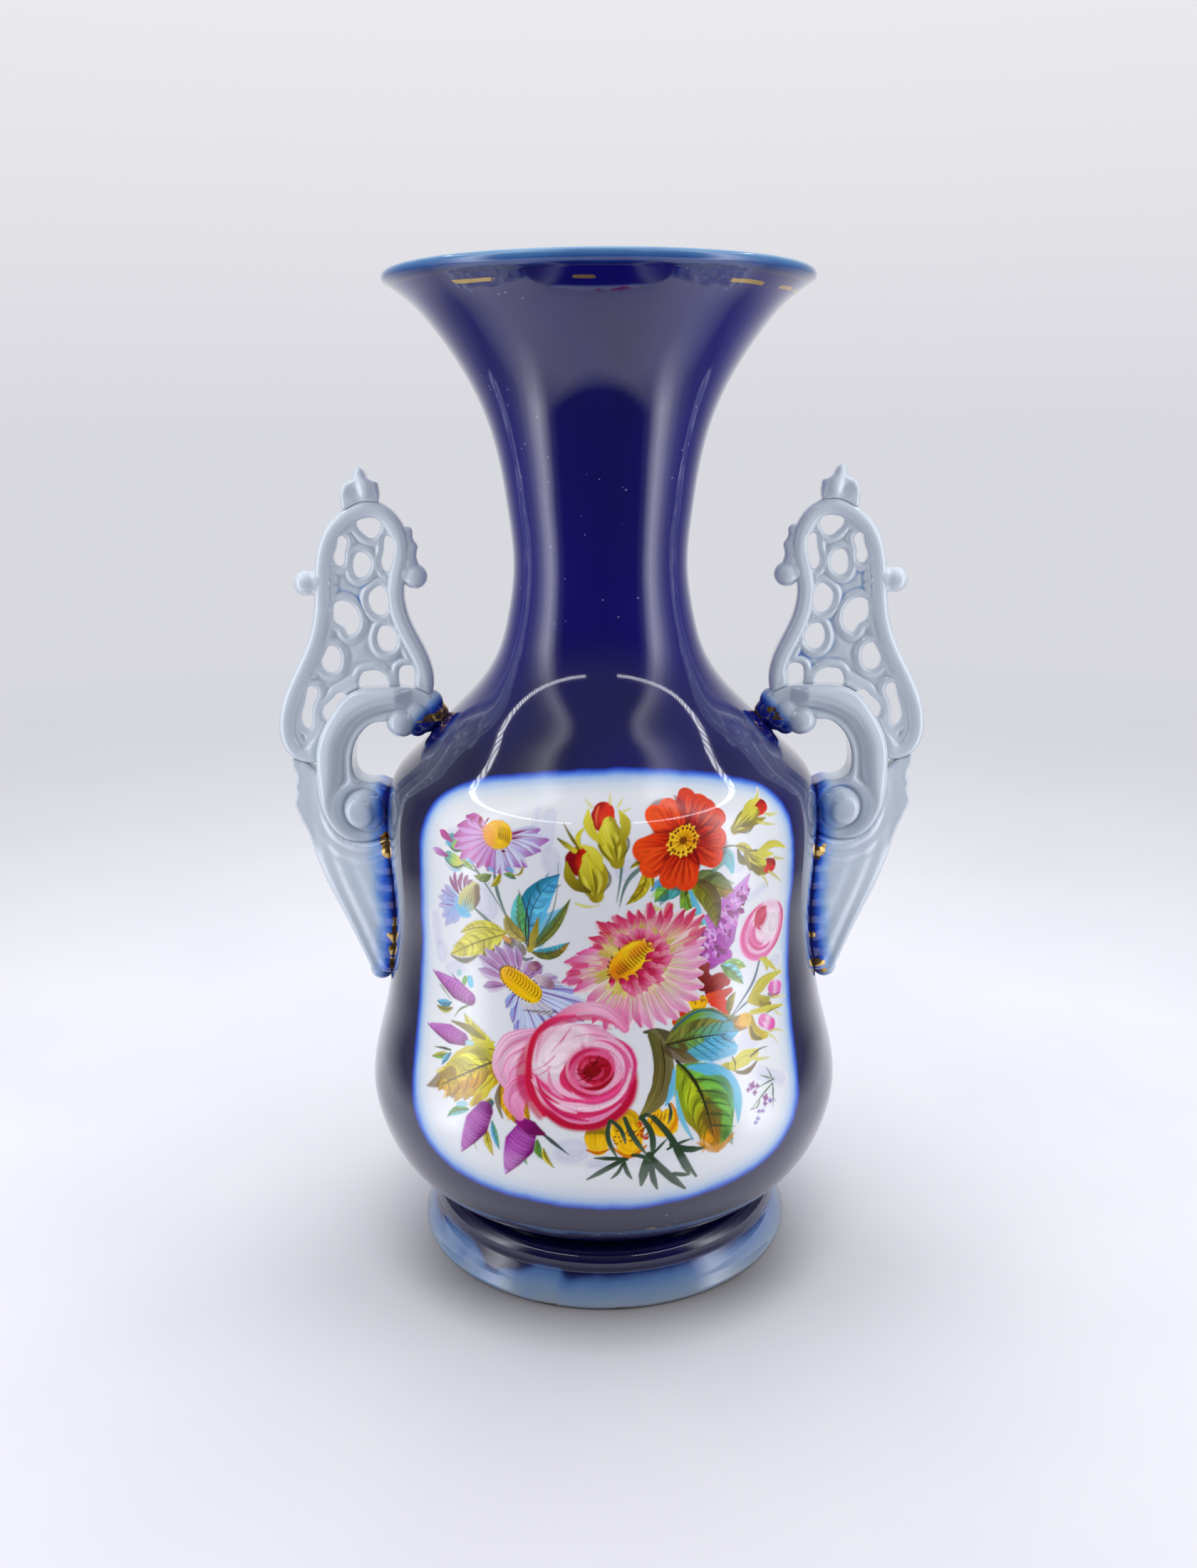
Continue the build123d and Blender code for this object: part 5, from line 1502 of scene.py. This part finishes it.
def left_buds():
    leaf("-65.6,18.6 -69,17.4 -74,17", 1.6, [SKY], TEAL, veins=0)
    leaf("-65,16.6 -69,14.8 -74,15", 1.3, [(130, 130, 40)], (170, 170, 60), veins=0)
    dab(-56.2, 29.4, 2.6, 1.5, 100, (90, 190, 226))
    dab(-59, 29.2, 2.2, 1.2, 70, (110, 170, 70))
    dab(-62, 31.6, 1.8, 1.2, 60, (110, 190, 190), opacity=0.7)
    line("-66,30 -61,27.4 -57,25", 0.35, (96, 80, 110))
    line("-73,24 -69,21.6 -66,19.6", 0.4, MOSS, opacity=0.8)
    line("-57,19.6 -61,17 -63.6,13.4", 0.5, (110, 130, 70))
    purple_bud((-56.4, 22.6), (-77.6, 28.6), 4.2)
    purple_bud((-58.4, 6), (-78.6, 6.2), 3.9)
    line("-64,0 -68,-0.4 -72.6,-1.4", 0.6, (70, 80, 30))
    leaf("-64.6,-1.6 -69,-3.6 -73.6,-5.4", 1.4, [(180, 180, 50)], GREEN, veins=0)
    leaf("-63.6,-1 -66,-4 -67.6,-7", 1.2, [SKY], TEAL, veins=0)
    dab(-55, 5.2, 2.2, 1.0, 10, (150, 210, 230), opacity=0.8)
    leaf("-52,-20 -56.6,-21.6 -61,-25.4", 1.7, [(84, 150, 60)], (120, 190, 200), veins=1)
    dab(-55.4, -18.8, 2.6, 1.1, 20, (120, 190, 210), opacity=0.8)
    leaf("-44,-25 -43,-30 -40.6,-35", 1.5, [(214, 200, 70)], (190, 170, 40), veins=0)
    leaf("-42,-22 -40.4,-27 -38.4,-32", 1.3, [SKY], (90, 160, 110), veins=0)
    line("-46,-28 -48.4,-31 -47,-34.6", 0.4, (200, 190, 80))
    dab(-43.6, -16, 2.4, 1.4, 60, (70, 100, 104))
    purple_bud((-45.4, -18.6), (-53.6, -37), 5.0)
    leaf("-24.6,-26 -24.4,-29.6 -22.6,-33", 1.5, [(104, 160, 70)], (70, 130, 60), veins=0)
    leaf("-22.4,-29 -21.4,-32.6 -18.6,-36", 1.0, [(222, 206, 60)], OLIVE, veins=0)
    leaf("-31,-31 -29.4,-33.6 -28,-36", 1.1, [(120, 190, 214)], (170, 190, 90), veins=0)
    purple_bud((-28.6, -22.6), (-36, -41.4), 5.6)
    stroke("-31,-20 -26.6,-22 -22.6,-23.4", [2.0, 2.8, 0.8], [(150, 20, 120), PLUM, (110, 10, 70)], soft=0.6)


def left_leaves():
    leaf("-43.6,6 -52,9.4 -58.6,16", 3.1, [(206, 196, 36), LEMON], (200, 190, 40), veins=2)
    stroke("-47,7 -55,10.4 -65,11.4", [0.6, 1.7, 0.3], [OLIVE, (120, 104, 20)], soft=0.6)
    stroke("-44,8 -50,6 -57,5", [0.4, 2.4, 0.8], [LEMON, (214, 204, 44)])
    leaf("-36.6,4.6 -50,-3.4 -69,-16", 9.6, [(218, 206, 40), (214, 200, 36), (206, 176, 20)], (208, 164, 14),
         veins=6)
    stroke("-62,-8 -67,-13 -73.6,-17.6", [2.4, 3.0, 0.3], [(150, 116, 16), (110, 84, 14)], opacity=0.85,
           soft=1.2)
    stroke("-50,-9 -56,-14 -60,-17", [1.8, 3.6, 1.0], [(216, 150, 10), (150, 100, 12)], opacity=0.85, soft=1.4)
    stroke("-44,-6 -47,-12 -51,-17.6", [1.6, 2.6, 1.0], [(214, 196, 26), (206, 190, 30)], soft=0.8)
    for k in range(6):
        x, y = -66 + 4.2 * k, -15.6 - 0.9 * (k % 3)
        petal((x + 1.5, y + 3.4), (x - 1.2, y - 1.8), 1.4, [(206, 170, 20), (170, 130, 16)], belly=0.4)
        line([(-42 - 4.4 * k, 0 - 2.6 * k), (-47 - 3.8 * k, 0.6 - 3 * k), (-52 - 2.7 * k, -0.4 - 3 * k)], 0.3,
             (120, 92, 10), opacity=0.8)
        line([(-41 - 4.4 * k, -1 - 2.4 * k), (-43.6 - 3.6 * k, -6 - 2.2 * k), (-48 - 2.8 * k, -11 - 1.3 * k)],
             0.32, (130, 92, 8), opacity=0.8)
    line("-37,4 -49,-2.6 -66,-14.6", 0.45, (96, 76, 10))
    line("-37,5 -42,5.2 -46,5", 0.45, OLIVE_DARK)
    leaf("-35.6,-2 -36.4,-11 -33,-21", 4.3, [(206, 150, 16), (216, 160, 14), (196, 140, 20)], (150, 110, 20),
         veins=2)
    stroke("-39.6,-6 -40.6,-13 -38,-20", [0.4, 1.4, 0.3], (104, 80, 16), opacity=0.85, soft=0.6)
    leaf("-33,-8 -30.6,-14 -27.6,-19.6", 1.9, [(206, 150, 14)], (170, 120, 14), veins=1)


def yellow_flowers():
    stroke("-4,-20.6 -4,-26 -3.6,-27", [3.4, 4.2, 3.4], [(190, 150, 14), (246, 190, 14), (250, 200, 30)])
    stroke("-7.4,-28.4 -4,-29.4 0,-28", [0.4, 0.6, 0.3], (206, 110, 10))
    stroke("-7.4,-22 -4,-21 -1,-22", [0.6, 1.5, 0.6], (130, 110, 10), opacity=0.8, soft=0.6)
    stroke("6,-18 6.6,-24 7,-26", [5.0, 6.0, 4.6], [(206, 160, 10), (250, 196, 16), (250, 190, 14)])
    stroke("1.4,-27.4 6.6,-31 12.6,-27.4", [0.4, 0.8, 0.4], (222, 130, 8))
    stroke("18,-18 19.4,-19.6 21,-17", [4.6, 5.4, 2.6], [(240, 180, 14), (250, 200, 30)])
    stroke("22.4,-12.6 24,-18 20,-24.4", [0.4, 0.9, 0.4], (226, 140, 8))
    for _ in range(24):
        dab(brush.uniform(1, 10), brush.uniform(-26, -21), 0.42, 0.32, 0, (130, 60, 6))
    for _ in range(14):
        x, y = brush.uniform(9.6, 13), brush.uniform(-25, -19)
        line([(x, y), (x + 0.8, y + 1.2)], 0.45, brush.choice([(206, 60, 20), (150, 70, 8)]))
    for k in range(5):
        line([(14.6 + k * 1.6, -19.6 + 0.4 * k), (16 + k * 1.5, -16 + 0.5 * k)], 0.4, (150, 100, 8),
             opacity=0.8)


def green_loops():
    for points, half in (
        ("0.4,-17.4 -0.4,-22 2.6,-31", 0.85), ("1,-17.4 3.6,-20 5.6,-26", 0.8),
        ("5.6,-16.6 7.6,-22 12.6,-30.6", 0.95), ("11.4,-16.6 14.4,-22 14.4,-33", 1.1),
        ("11,-17 13,-15.8 15.6,-17.4", 0.7), ("15.6,-17 20,-23 25,-33 30.2,-42.6", 1.25),
        ("21.6,-12.8 22,-17 20.6,-20", 0.6), ("13.6,-31 12,-36 10.8,-43", 1.6),
        ("14.4,-33 14.6,-39 16.4,-45.6", 1.1), ("14,-32 19,-38.6 26.4,-47.4", 1.5),
        ("21.6,-28 26,-30.4 33,-31.4", 1.25), ("23,-30 25.6,-36 27.6,-41", 1.3),
        ("22,-39.6 25,-40.6 27.6,-41.2", 0.9), ("5,-32 0,-35 -7.4,-40", 1.0),
        ("6,-32 1,-31.6 -5,-31.4", 0.8), ("5,-33 6,-37 7.6,-40", 0.8),
        ("4.4,-34 3,-37 0.6,-39.6", 0.65), ("14.6,-31 17.6,-28 20,-25.6", 0.5),
        ("20,-29.6 24,-28 29,-27", 0.55), ("8,-30.6 10.4,-31 14,-33.4", 0.8),
    ):
        stroke(points, [half * 0.8, half, half, half * 0.35], [(50, 70, 46), PINE, (84, 104, 84)], streak=0.4)


POSES = {
    lilac_daisy: Pose((-41, 88), flip=True),
    wild_rose: Pose((28.5, 89.5), turn=34),
    red_buds: Pose((-1, 90), turn=-7),
    swirl_bud: Pose((67.6, 46.6), turn=20, flip=True),
    blue_aster: Pose((-32, 29), turn=-6, flip=True),
    strawflower: Pose((11.4, 41.6), turn=-8, flip=True),
    cabbage_rose: Pose((-12.5, 1), turn=6, flip=True),
    violet_sprig: Pose((59, -18), turn=10, flip=True),
}


def paint_bouquet():
    for part in (shadows, stems, small_buds, lilac_daisy, side_aster, yellow_leaf_group, blue_leaf_group,
                 lilac_spray,
                 swirl_bud, hidden_red, lower_right_buds, right_buds, rose_leaves, wild_rose, red_buds,
                 yellow_flowers,
                 violet_sprig, left_leaves, left_buds, blue_aster, strawflower, big_leaves, cabbage_rose,
                 green_loops):
        with POSES.get(part, Pose((0, 0))):
            part()


def enamel_paint():
    """Overglaze enamel: the stored paint over the white glaze, with faint brush grain."""
    shades = Shades("enamel_paint")
    paint = shades.stored("paint", "Color")
    cover = shades.stored("cover")
    grain = shades.noise(900.0)
    tone = shades.blend(shades.spread(grain, 0.3, 0.75, 0.0, 0.16), paint, (0.9, 0.9, 0.9), "MULTIPLY")
    return glossy(shades, shades.blend(cover, settings().glaze_white, tone))


def make_bouquet():
    """The painted net as thin enamel on the front of the pot, in lower, middle and upper bands."""
    paint_bouquet()
    material = enamel_paint()
    rows, columns = net_x.shape
    keep = net_cover > 0.004
    keep = keep[:-1, :-1] | keep[1:, :-1] | keep[:-1, 1:] | keep[1:, 1:]
    places = on_pot(net_x + NET_SHIFT, net_y, lift=0.00003)
    ahead = on_pot(net_x + NET_SHIFT, net_y, lift=0.00103)
    outward = (ahead - places) / MM
    cuts = [0, int(rows * 0.36), int(rows * 0.62), rows - 1]
    for name, low, high in zip(("lower", "middle", "upper"), cuts[:-1], cuts[1:]):
        band = np.zeros_like(keep)
        band[low:high] = keep[low:high]
        j, i = np.nonzero(band)
        corner = j * columns + i
        quads = np.stack([corner, corner + 1, corner + columns + 1, corner + columns], 1)
        used, quads = np.unique(quads, return_inverse=True)
        quads = quads.reshape(-1, 4)
        mesh = bpy.data.meshes.new("bouquet_" + name)
        mesh.vertices.add(len(used))
        mesh.vertices.foreach_set("co", places.reshape(-1, 3)[used].astype(np.float32).ravel())
        mesh.loops.add(len(quads) * 4)
        mesh.loops.foreach_set("vertex_index", quads.astype(np.int32).ravel())
        mesh.polygons.add(len(quads))
        mesh.polygons.foreach_set("loop_start", np.arange(len(quads), dtype=np.int32) * 4)
        mesh.update(calc_edges=True)
        mesh.validate()
        piece = bpy.data.objects.new("bouquet_" + name, mesh)
        bpy.context.scene.collection.objects.link(piece)
        mesh.shade_smooth()
        mesh.normals_split_custom_set_from_vertices(outward.reshape(-1, 3)[used])
        colour = np.ones((len(used), 4), np.float32)
        cover = net_cover.reshape(-1)[used]
        colour[:, :3] = net_colour.reshape(-1, 3)[used] / np.maximum(cover, 1e-3)[:, None]
        layer = mesh.attributes.new("paint", "FLOAT_COLOR", "POINT")
        layer.data.foreach_set("color", np.clip(colour, 0, 1).ravel())
        store(piece, "cover", cover)
        dress(piece, material, "enamel_paint")

# ---------------------------------------------------------------- stage
ROOM_GLOW = 2.9
ROOM_TONES = ((0, 0.010), (46, 0.012), (54, 0.08), (60, 0.44), (67, 0.86), (74, 0.62), (81, 0.30), (90, 0.12),
              (100, 0.06), (112, 0.04), (126, 0.07), (140, 0.13), (156, 0.22), (180, 0.26))


def turn_round(shades, across, depth):
    """The turn from the front of the room, the same to either side."""
    return shades.sum("ARCTAN2", shades.sum("ABSOLUTE", across), shades.sum("MULTIPLY", depth, -1.0))


def room_ring(shades, across, depth):
    """What the glaze mirrors at each turn from the front: a dark room, then a bright panel each side."""
    share = shades.sum("DIVIDE", turn_round(shades, across, depth), pi)
    ring = shades.ramp(share, [(turn / 180, (tone, tone, tone * 1.05)) for turn, tone in ROOM_TONES])
    return shades.vector("MULTIPLY", ring, (ROOM_GLOW, ROOM_GLOW, ROOM_GLOW))[0]


def make_floor():
    """A pale floor that fades into the backdrop, with a painted contact shadow in front of the foot; the glaze
    mirrors only the part near the vase, which mirrored rays see painted darker.
    """
    deselect()
    bpy.ops.mesh.primitive_circle_add(vertices=128, radius=6, fill_type="NGON", location=(0, 0, 0))
    floor = bpy.context.object
    floor.name = "stage_floor"
    shades = Shades("stage_paper")
    grain = shades.noise(7.0, detail=3.0)
    rays = shades.add("LightPath").outputs
    axes = shades.axes()
    # Painted reflection: mirrored rays see the paper much darker, and near black just in front of the vase.
    ahead = shades.spread(axes[1], -0.28, -0.34)
    mirrored_front = shades.sum("MULTIPLY", ahead, rays["Is Glossy Ray"])
    paper = shades.ramp(grain, [(0.3, (0.62, 0.62, 0.665)), (0.7, (0.65, 0.65, 0.69))])
    paper = shades.blend(shades.sum("MULTIPLY", rays["Is Glossy Ray"], 0.2), paper, (0.02, 0.02, 0.03))
    paper = shades.blend(mirrored_front, paper, (0.02, 0.018, 0.025))
    away = shades.gap((0, 0, 0))
    # Painted shadow: the paper is darkened in front of the foot, where the vase would shade it.
    painted_contact_shadow = shades.sum("MULTIPLY", shades.spread(away, 0.110, 0.078), shades.spread(axes[1], 0.02, -0.06))
    painted_contact_shadow = shades.sum("MULTIPLY", shades.sum("POWER", painted_contact_shadow, 1.6), 0.72)
    paper = shades.blend(painted_contact_shadow, paper, (0.10, 0.09, 0.085))
    shades.finish(Base_Color=paper, Roughness=0.55)
    # Far off the floor glows instead of taking light: the backdrop colour to the camera, and the room's ring of
    # panels to mirrored rays.
    tone = shades.blend(rays["Is Glossy Ray"], settings().backdrop_low, room_ring(shades, axes[0], axes[1]))
    far_seen = shades.sum("MULTIPLY", shades.spread(away, 0.35, 1.6), rays["Is Camera Ray"])
    far_mirrored = shades.sum("MULTIPLY", shades.spread(away, 0.32, 0.52), rays["Is Glossy Ray"])
    mix = shades.add("MixShader")
    nodes = shades.tree.nodes
    shades.put(mix.inputs[0], shades.sum("MAXIMUM", far_seen, far_mirrored))
    shades.put(mix.inputs[1], nodes["Principled BSDF"].outputs[0])
    shades.put(mix.inputs[2], shades.add("Emission", Color=tone).outputs[0])
    shades.put(nodes["Material Output"].inputs["Surface"], mix.outputs[0])
    floor.data.materials.append(shades.owner)


def strip_light(shades, across, depth, rise):
    """1 where a thin strip runs high along each side of the room, as the glaze mirrors it."""
    side = turn_round(shades, across, depth)
    miss = shades.sum("ABSOLUTE", shades.sum("SUBTRACT", rise, 0.72))
    miss_turn = shades.sum("ABSOLUTE", shades.sum("SUBTRACT", side, radians(78)))
    beads = shades.sum("GREATER_THAN", shades.sum("SINE", shades.sum("MULTIPLY", side, 130.0)), -0.5)
    strip = shades.sum("MULTIPLY", shades.sum("LESS_THAN", miss, 0.014),
                       shades.sum("LESS_THAN", miss_turn, radians(58)))
    return shades.sum("MULTIPLY", strip, beads)


def make_world():
    """Soft light from behind and above; mirrored rays see the room, the side panels and the strips."""
    world = bpy.context.scene.world = bpy.data.worlds.new("studio")
    shades = Shades("studio", world)
    across, depth, rise = shades.add("SeparateXYZ", Vector=shades.add("TexCoord").outputs["Generated"]).outputs
    overhead = shades.sum("MULTIPLY", shades.spread(rise, 0.30, 0.72), 0.6)
    mirrored_room = shades.blend(overhead, room_ring(shades, across, depth), (0.20, 0.20, 0.23))
    mirrored_room = shades.blend(strip_light(shades, across, depth, rise), mirrored_room, (6.0, 6.1, 6.4))
    lit = shades.spread(shades.sum("ADD", depth, rise), -1.0, 0.7)
    ambient = shades.blend(lit, (0.34, 0.35, 0.38), (0.95, 0.95, 0.99))
    backdrop = shades.blend(shades.spread(rise, 0.0, 0.45), settings().backdrop_low, settings().backdrop_high)
    rays = shades.add("LightPath").outputs
    unseen = shades.blend(rays["Is Glossy Ray"], ambient, mirrored_room)
    seen = shades.blend(rays["Is Camera Ray"], unseen, backdrop)
    shades.put(shades.tree.nodes["Background"].inputs["Color"], seen)


def make_lamps():
    def lamp(name, place, size, size_y, power):
        bpy.ops.object.light_add(type="AREA", location=place)
        light = bpy.context.object
        light.name = name
        light.data.shape = "RECTANGLE"
        light.data.size = size
        light.data.size_y = size_y
        light.data.energy = power
        light.visible_glossy = False
        aim = Vector((0, 0, 0.2)) - Vector(place)
        light.rotation_euler = aim.to_track_quat("-Z", "Y").to_euler()

    lamp("left_panel", (-0.8, -0.2, 0.45), 0.4, 0.6, settings().side_power)
    lamp("right_panel", (0.8, -0.2, 0.45), 0.4, 0.6, settings().side_power)
    lamp("top_panel", (0, 0.22, 1.1), 0.9, 0.6, settings().top_power)


def make_camera():
    camera = bpy.data.objects.new("camera", bpy.data.cameras.new("camera"))
    bpy.context.scene.collection.objects.link(camera)
    height = LIP_TOP
    camera.location = (0, -1.382 * height, 0.856 * height)
    camera.data.lens = 31.11
    camera.data.sensor_width = 36.0
    aim = Matrix.Rotation(radians(0.15), 4, "Z") @ Matrix.Rotation(radians(75.30), 4, "X")
    camera.rotation_euler = (aim @ Matrix.Rotation(radians(-0.40), 4, "Z")).to_euler()
    bpy.context.scene.camera = camera
    bpy.context.scene.view_settings.view_transform = "Standard"


def make_stage():
    make_floor()
    make_world()
    make_lamps()
    make_camera()


# ---------------------------------------------------------------- add-on
def colour_property(name, description, default):
    return FloatVectorProperty(name=name, description=description, subtype="COLOR", size=3, default=default,
                                         min=0.0, max=1.0)


class VaseSettings(bpy.types.PropertyGroup):
    """The sizes and colours that someone would change."""

    cobalt_night: colour_property("Cobalt, thick", "Ground where the cobalt lies thick", (0.004, 0.004, 0.045))
    cobalt_deep: colour_property("Cobalt, thin", "Ground where the cobalt has thinned", (0.008, 0.003, 0.20))
    cobalt_bleed: colour_property("Cobalt bleed", "Blue that has run into the white", (0.12, 0.28, 0.78))
    glaze_white: colour_property("White glaze", "The white of the front reserve", (0.78, 0.80, 0.83))
    handle_white: colour_property("Handle glaze", "The pale glaze of the handles", (0.64, 0.71, 0.79))
    gold: colour_property("Gilding", "Worn gold on the lip, the joints and the foot", (0.85, 0.55, 0.16))
    roughness: FloatProperty(name="Glaze roughness", description="Roughness of the ground under the clear coat",
                                       default=0.08, min=0.0, max=1.0, subtype="FACTOR")
    wall: FloatProperty(name="Wall", description="Thickness of the pot's wall", default=0.005, min=0.002,
                                  max=0.02, unit="LENGTH")
    steps_round: IntProperty(name="Steps round", description="Flats round each turned piece", default=256,
                                       min=32, max=512)
    rubbing: FloatProperty(name="Rubbing", description="How far the handles' edges are rubbed down",
                           default=1.0,
                                     min=0.1, max=3.0, subtype="FACTOR")
    backdrop_low: colour_property("Backdrop, low", "The backdrop near the floor", (0.69, 0.69, 0.74))
    backdrop_high: colour_property("Backdrop, high", "The backdrop above the vase", (0.93, 0.93, 0.95))
    side_power: FloatProperty(name="Side lamps", description="Power of each side lamp", default=2.6, min=0.0,
                                        unit="POWER")
    top_power: FloatProperty(name="Top lamp", description="Power of the lamp overhead", default=7.0, min=0.0,
                                       unit="POWER")


class VASE_OT_body(bpy.types.Operator):
    """Turn the body and glaze it in cobalt round a white reserve"""

    bl_idname = "vase.body"
    bl_label = "Body"

    def execute(self, context):
        make_body()
        return {"FINISHED"}


class VASE_OT_neck(bpy.types.Operator):
    """Turn the trumpet neck with its rolled and gilded lip"""

    bl_idname = "vase.neck"
    bl_label = "Neck"

    def execute(self, context):
        make_neck()
        return {"FINISHED"}


class VASE_OT_foot(bpy.types.Operator):
    """Turn the stepped foot with its pale skirt"""

    bl_idname = "vase.foot"
    bl_label = "Foot"

    def execute(self, context):
        make_foot()
        return {"FINISHED"}


class VASE_OT_handles(bpy.types.Operator):
    """Rub down and glaze the pieces of both pierced handles"""

    bl_idname = "vase.handles"
    bl_label = "Handles"

    def execute(self, context):
        make_handles()
        return {"FINISHED"}


class VASE_OT_bouquet(bpy.types.Operator):
    """Paint the bouquet in enamel on the white reserve"""

    bl_idname = "vase.bouquet"
    bl_label = "Bouquet"

    def execute(self, context):
        make_bouquet()
        return {"FINISHED"}


class VASE_OT_stage(bpy.types.Operator):
    """Set the floor, the backdrop, the lamps and the camera"""

    bl_idname = "vase.stage"
    bl_label = "Stage"

    def execute(self, context):
        make_stage()
        return {"FINISHED"}


STEPS = (VASE_OT_body, VASE_OT_neck, VASE_OT_foot, VASE_OT_handles, VASE_OT_bouquet, VASE_OT_stage)


class VASE_PT_panel(bpy.types.Panel):
    """The vase's settings and the steps that build it"""

    bl_idname = "VASE_PT_panel"
    bl_label = "Porcelain Flower Vase"
    bl_space_type = "VIEW_3D"
    bl_region_type = "UI"
    bl_category = "Vase"

    def draw(self, context):
        for name in VaseSettings.__annotations__:
            self.layout.prop(context.scene.vase, name)
        for step in STEPS:
            self.layout.operator(step.bl_idname)


CLASSES = (VaseSettings, *STEPS, VASE_PT_panel)


def register():
    for each in CLASSES:
        bpy.utils.register_class(each)
    bpy.types.Scene.vase = PointerProperty(type=VaseSettings)


def unregister():
    del bpy.types.Scene.vase
    for each in reversed(CLASSES):
        bpy.utils.unregister_class(each)


def main():
    register()
    for step in (bpy.ops.vase.body, bpy.ops.vase.neck, bpy.ops.vase.foot, bpy.ops.vase.handles,
                 bpy.ops.vase.bouquet,
                 bpy.ops.vase.stage):
        if step() != {"FINISHED"}:
            raise RuntimeError("a step of the vase did not finish")


if __name__ == "__main__":
    main()
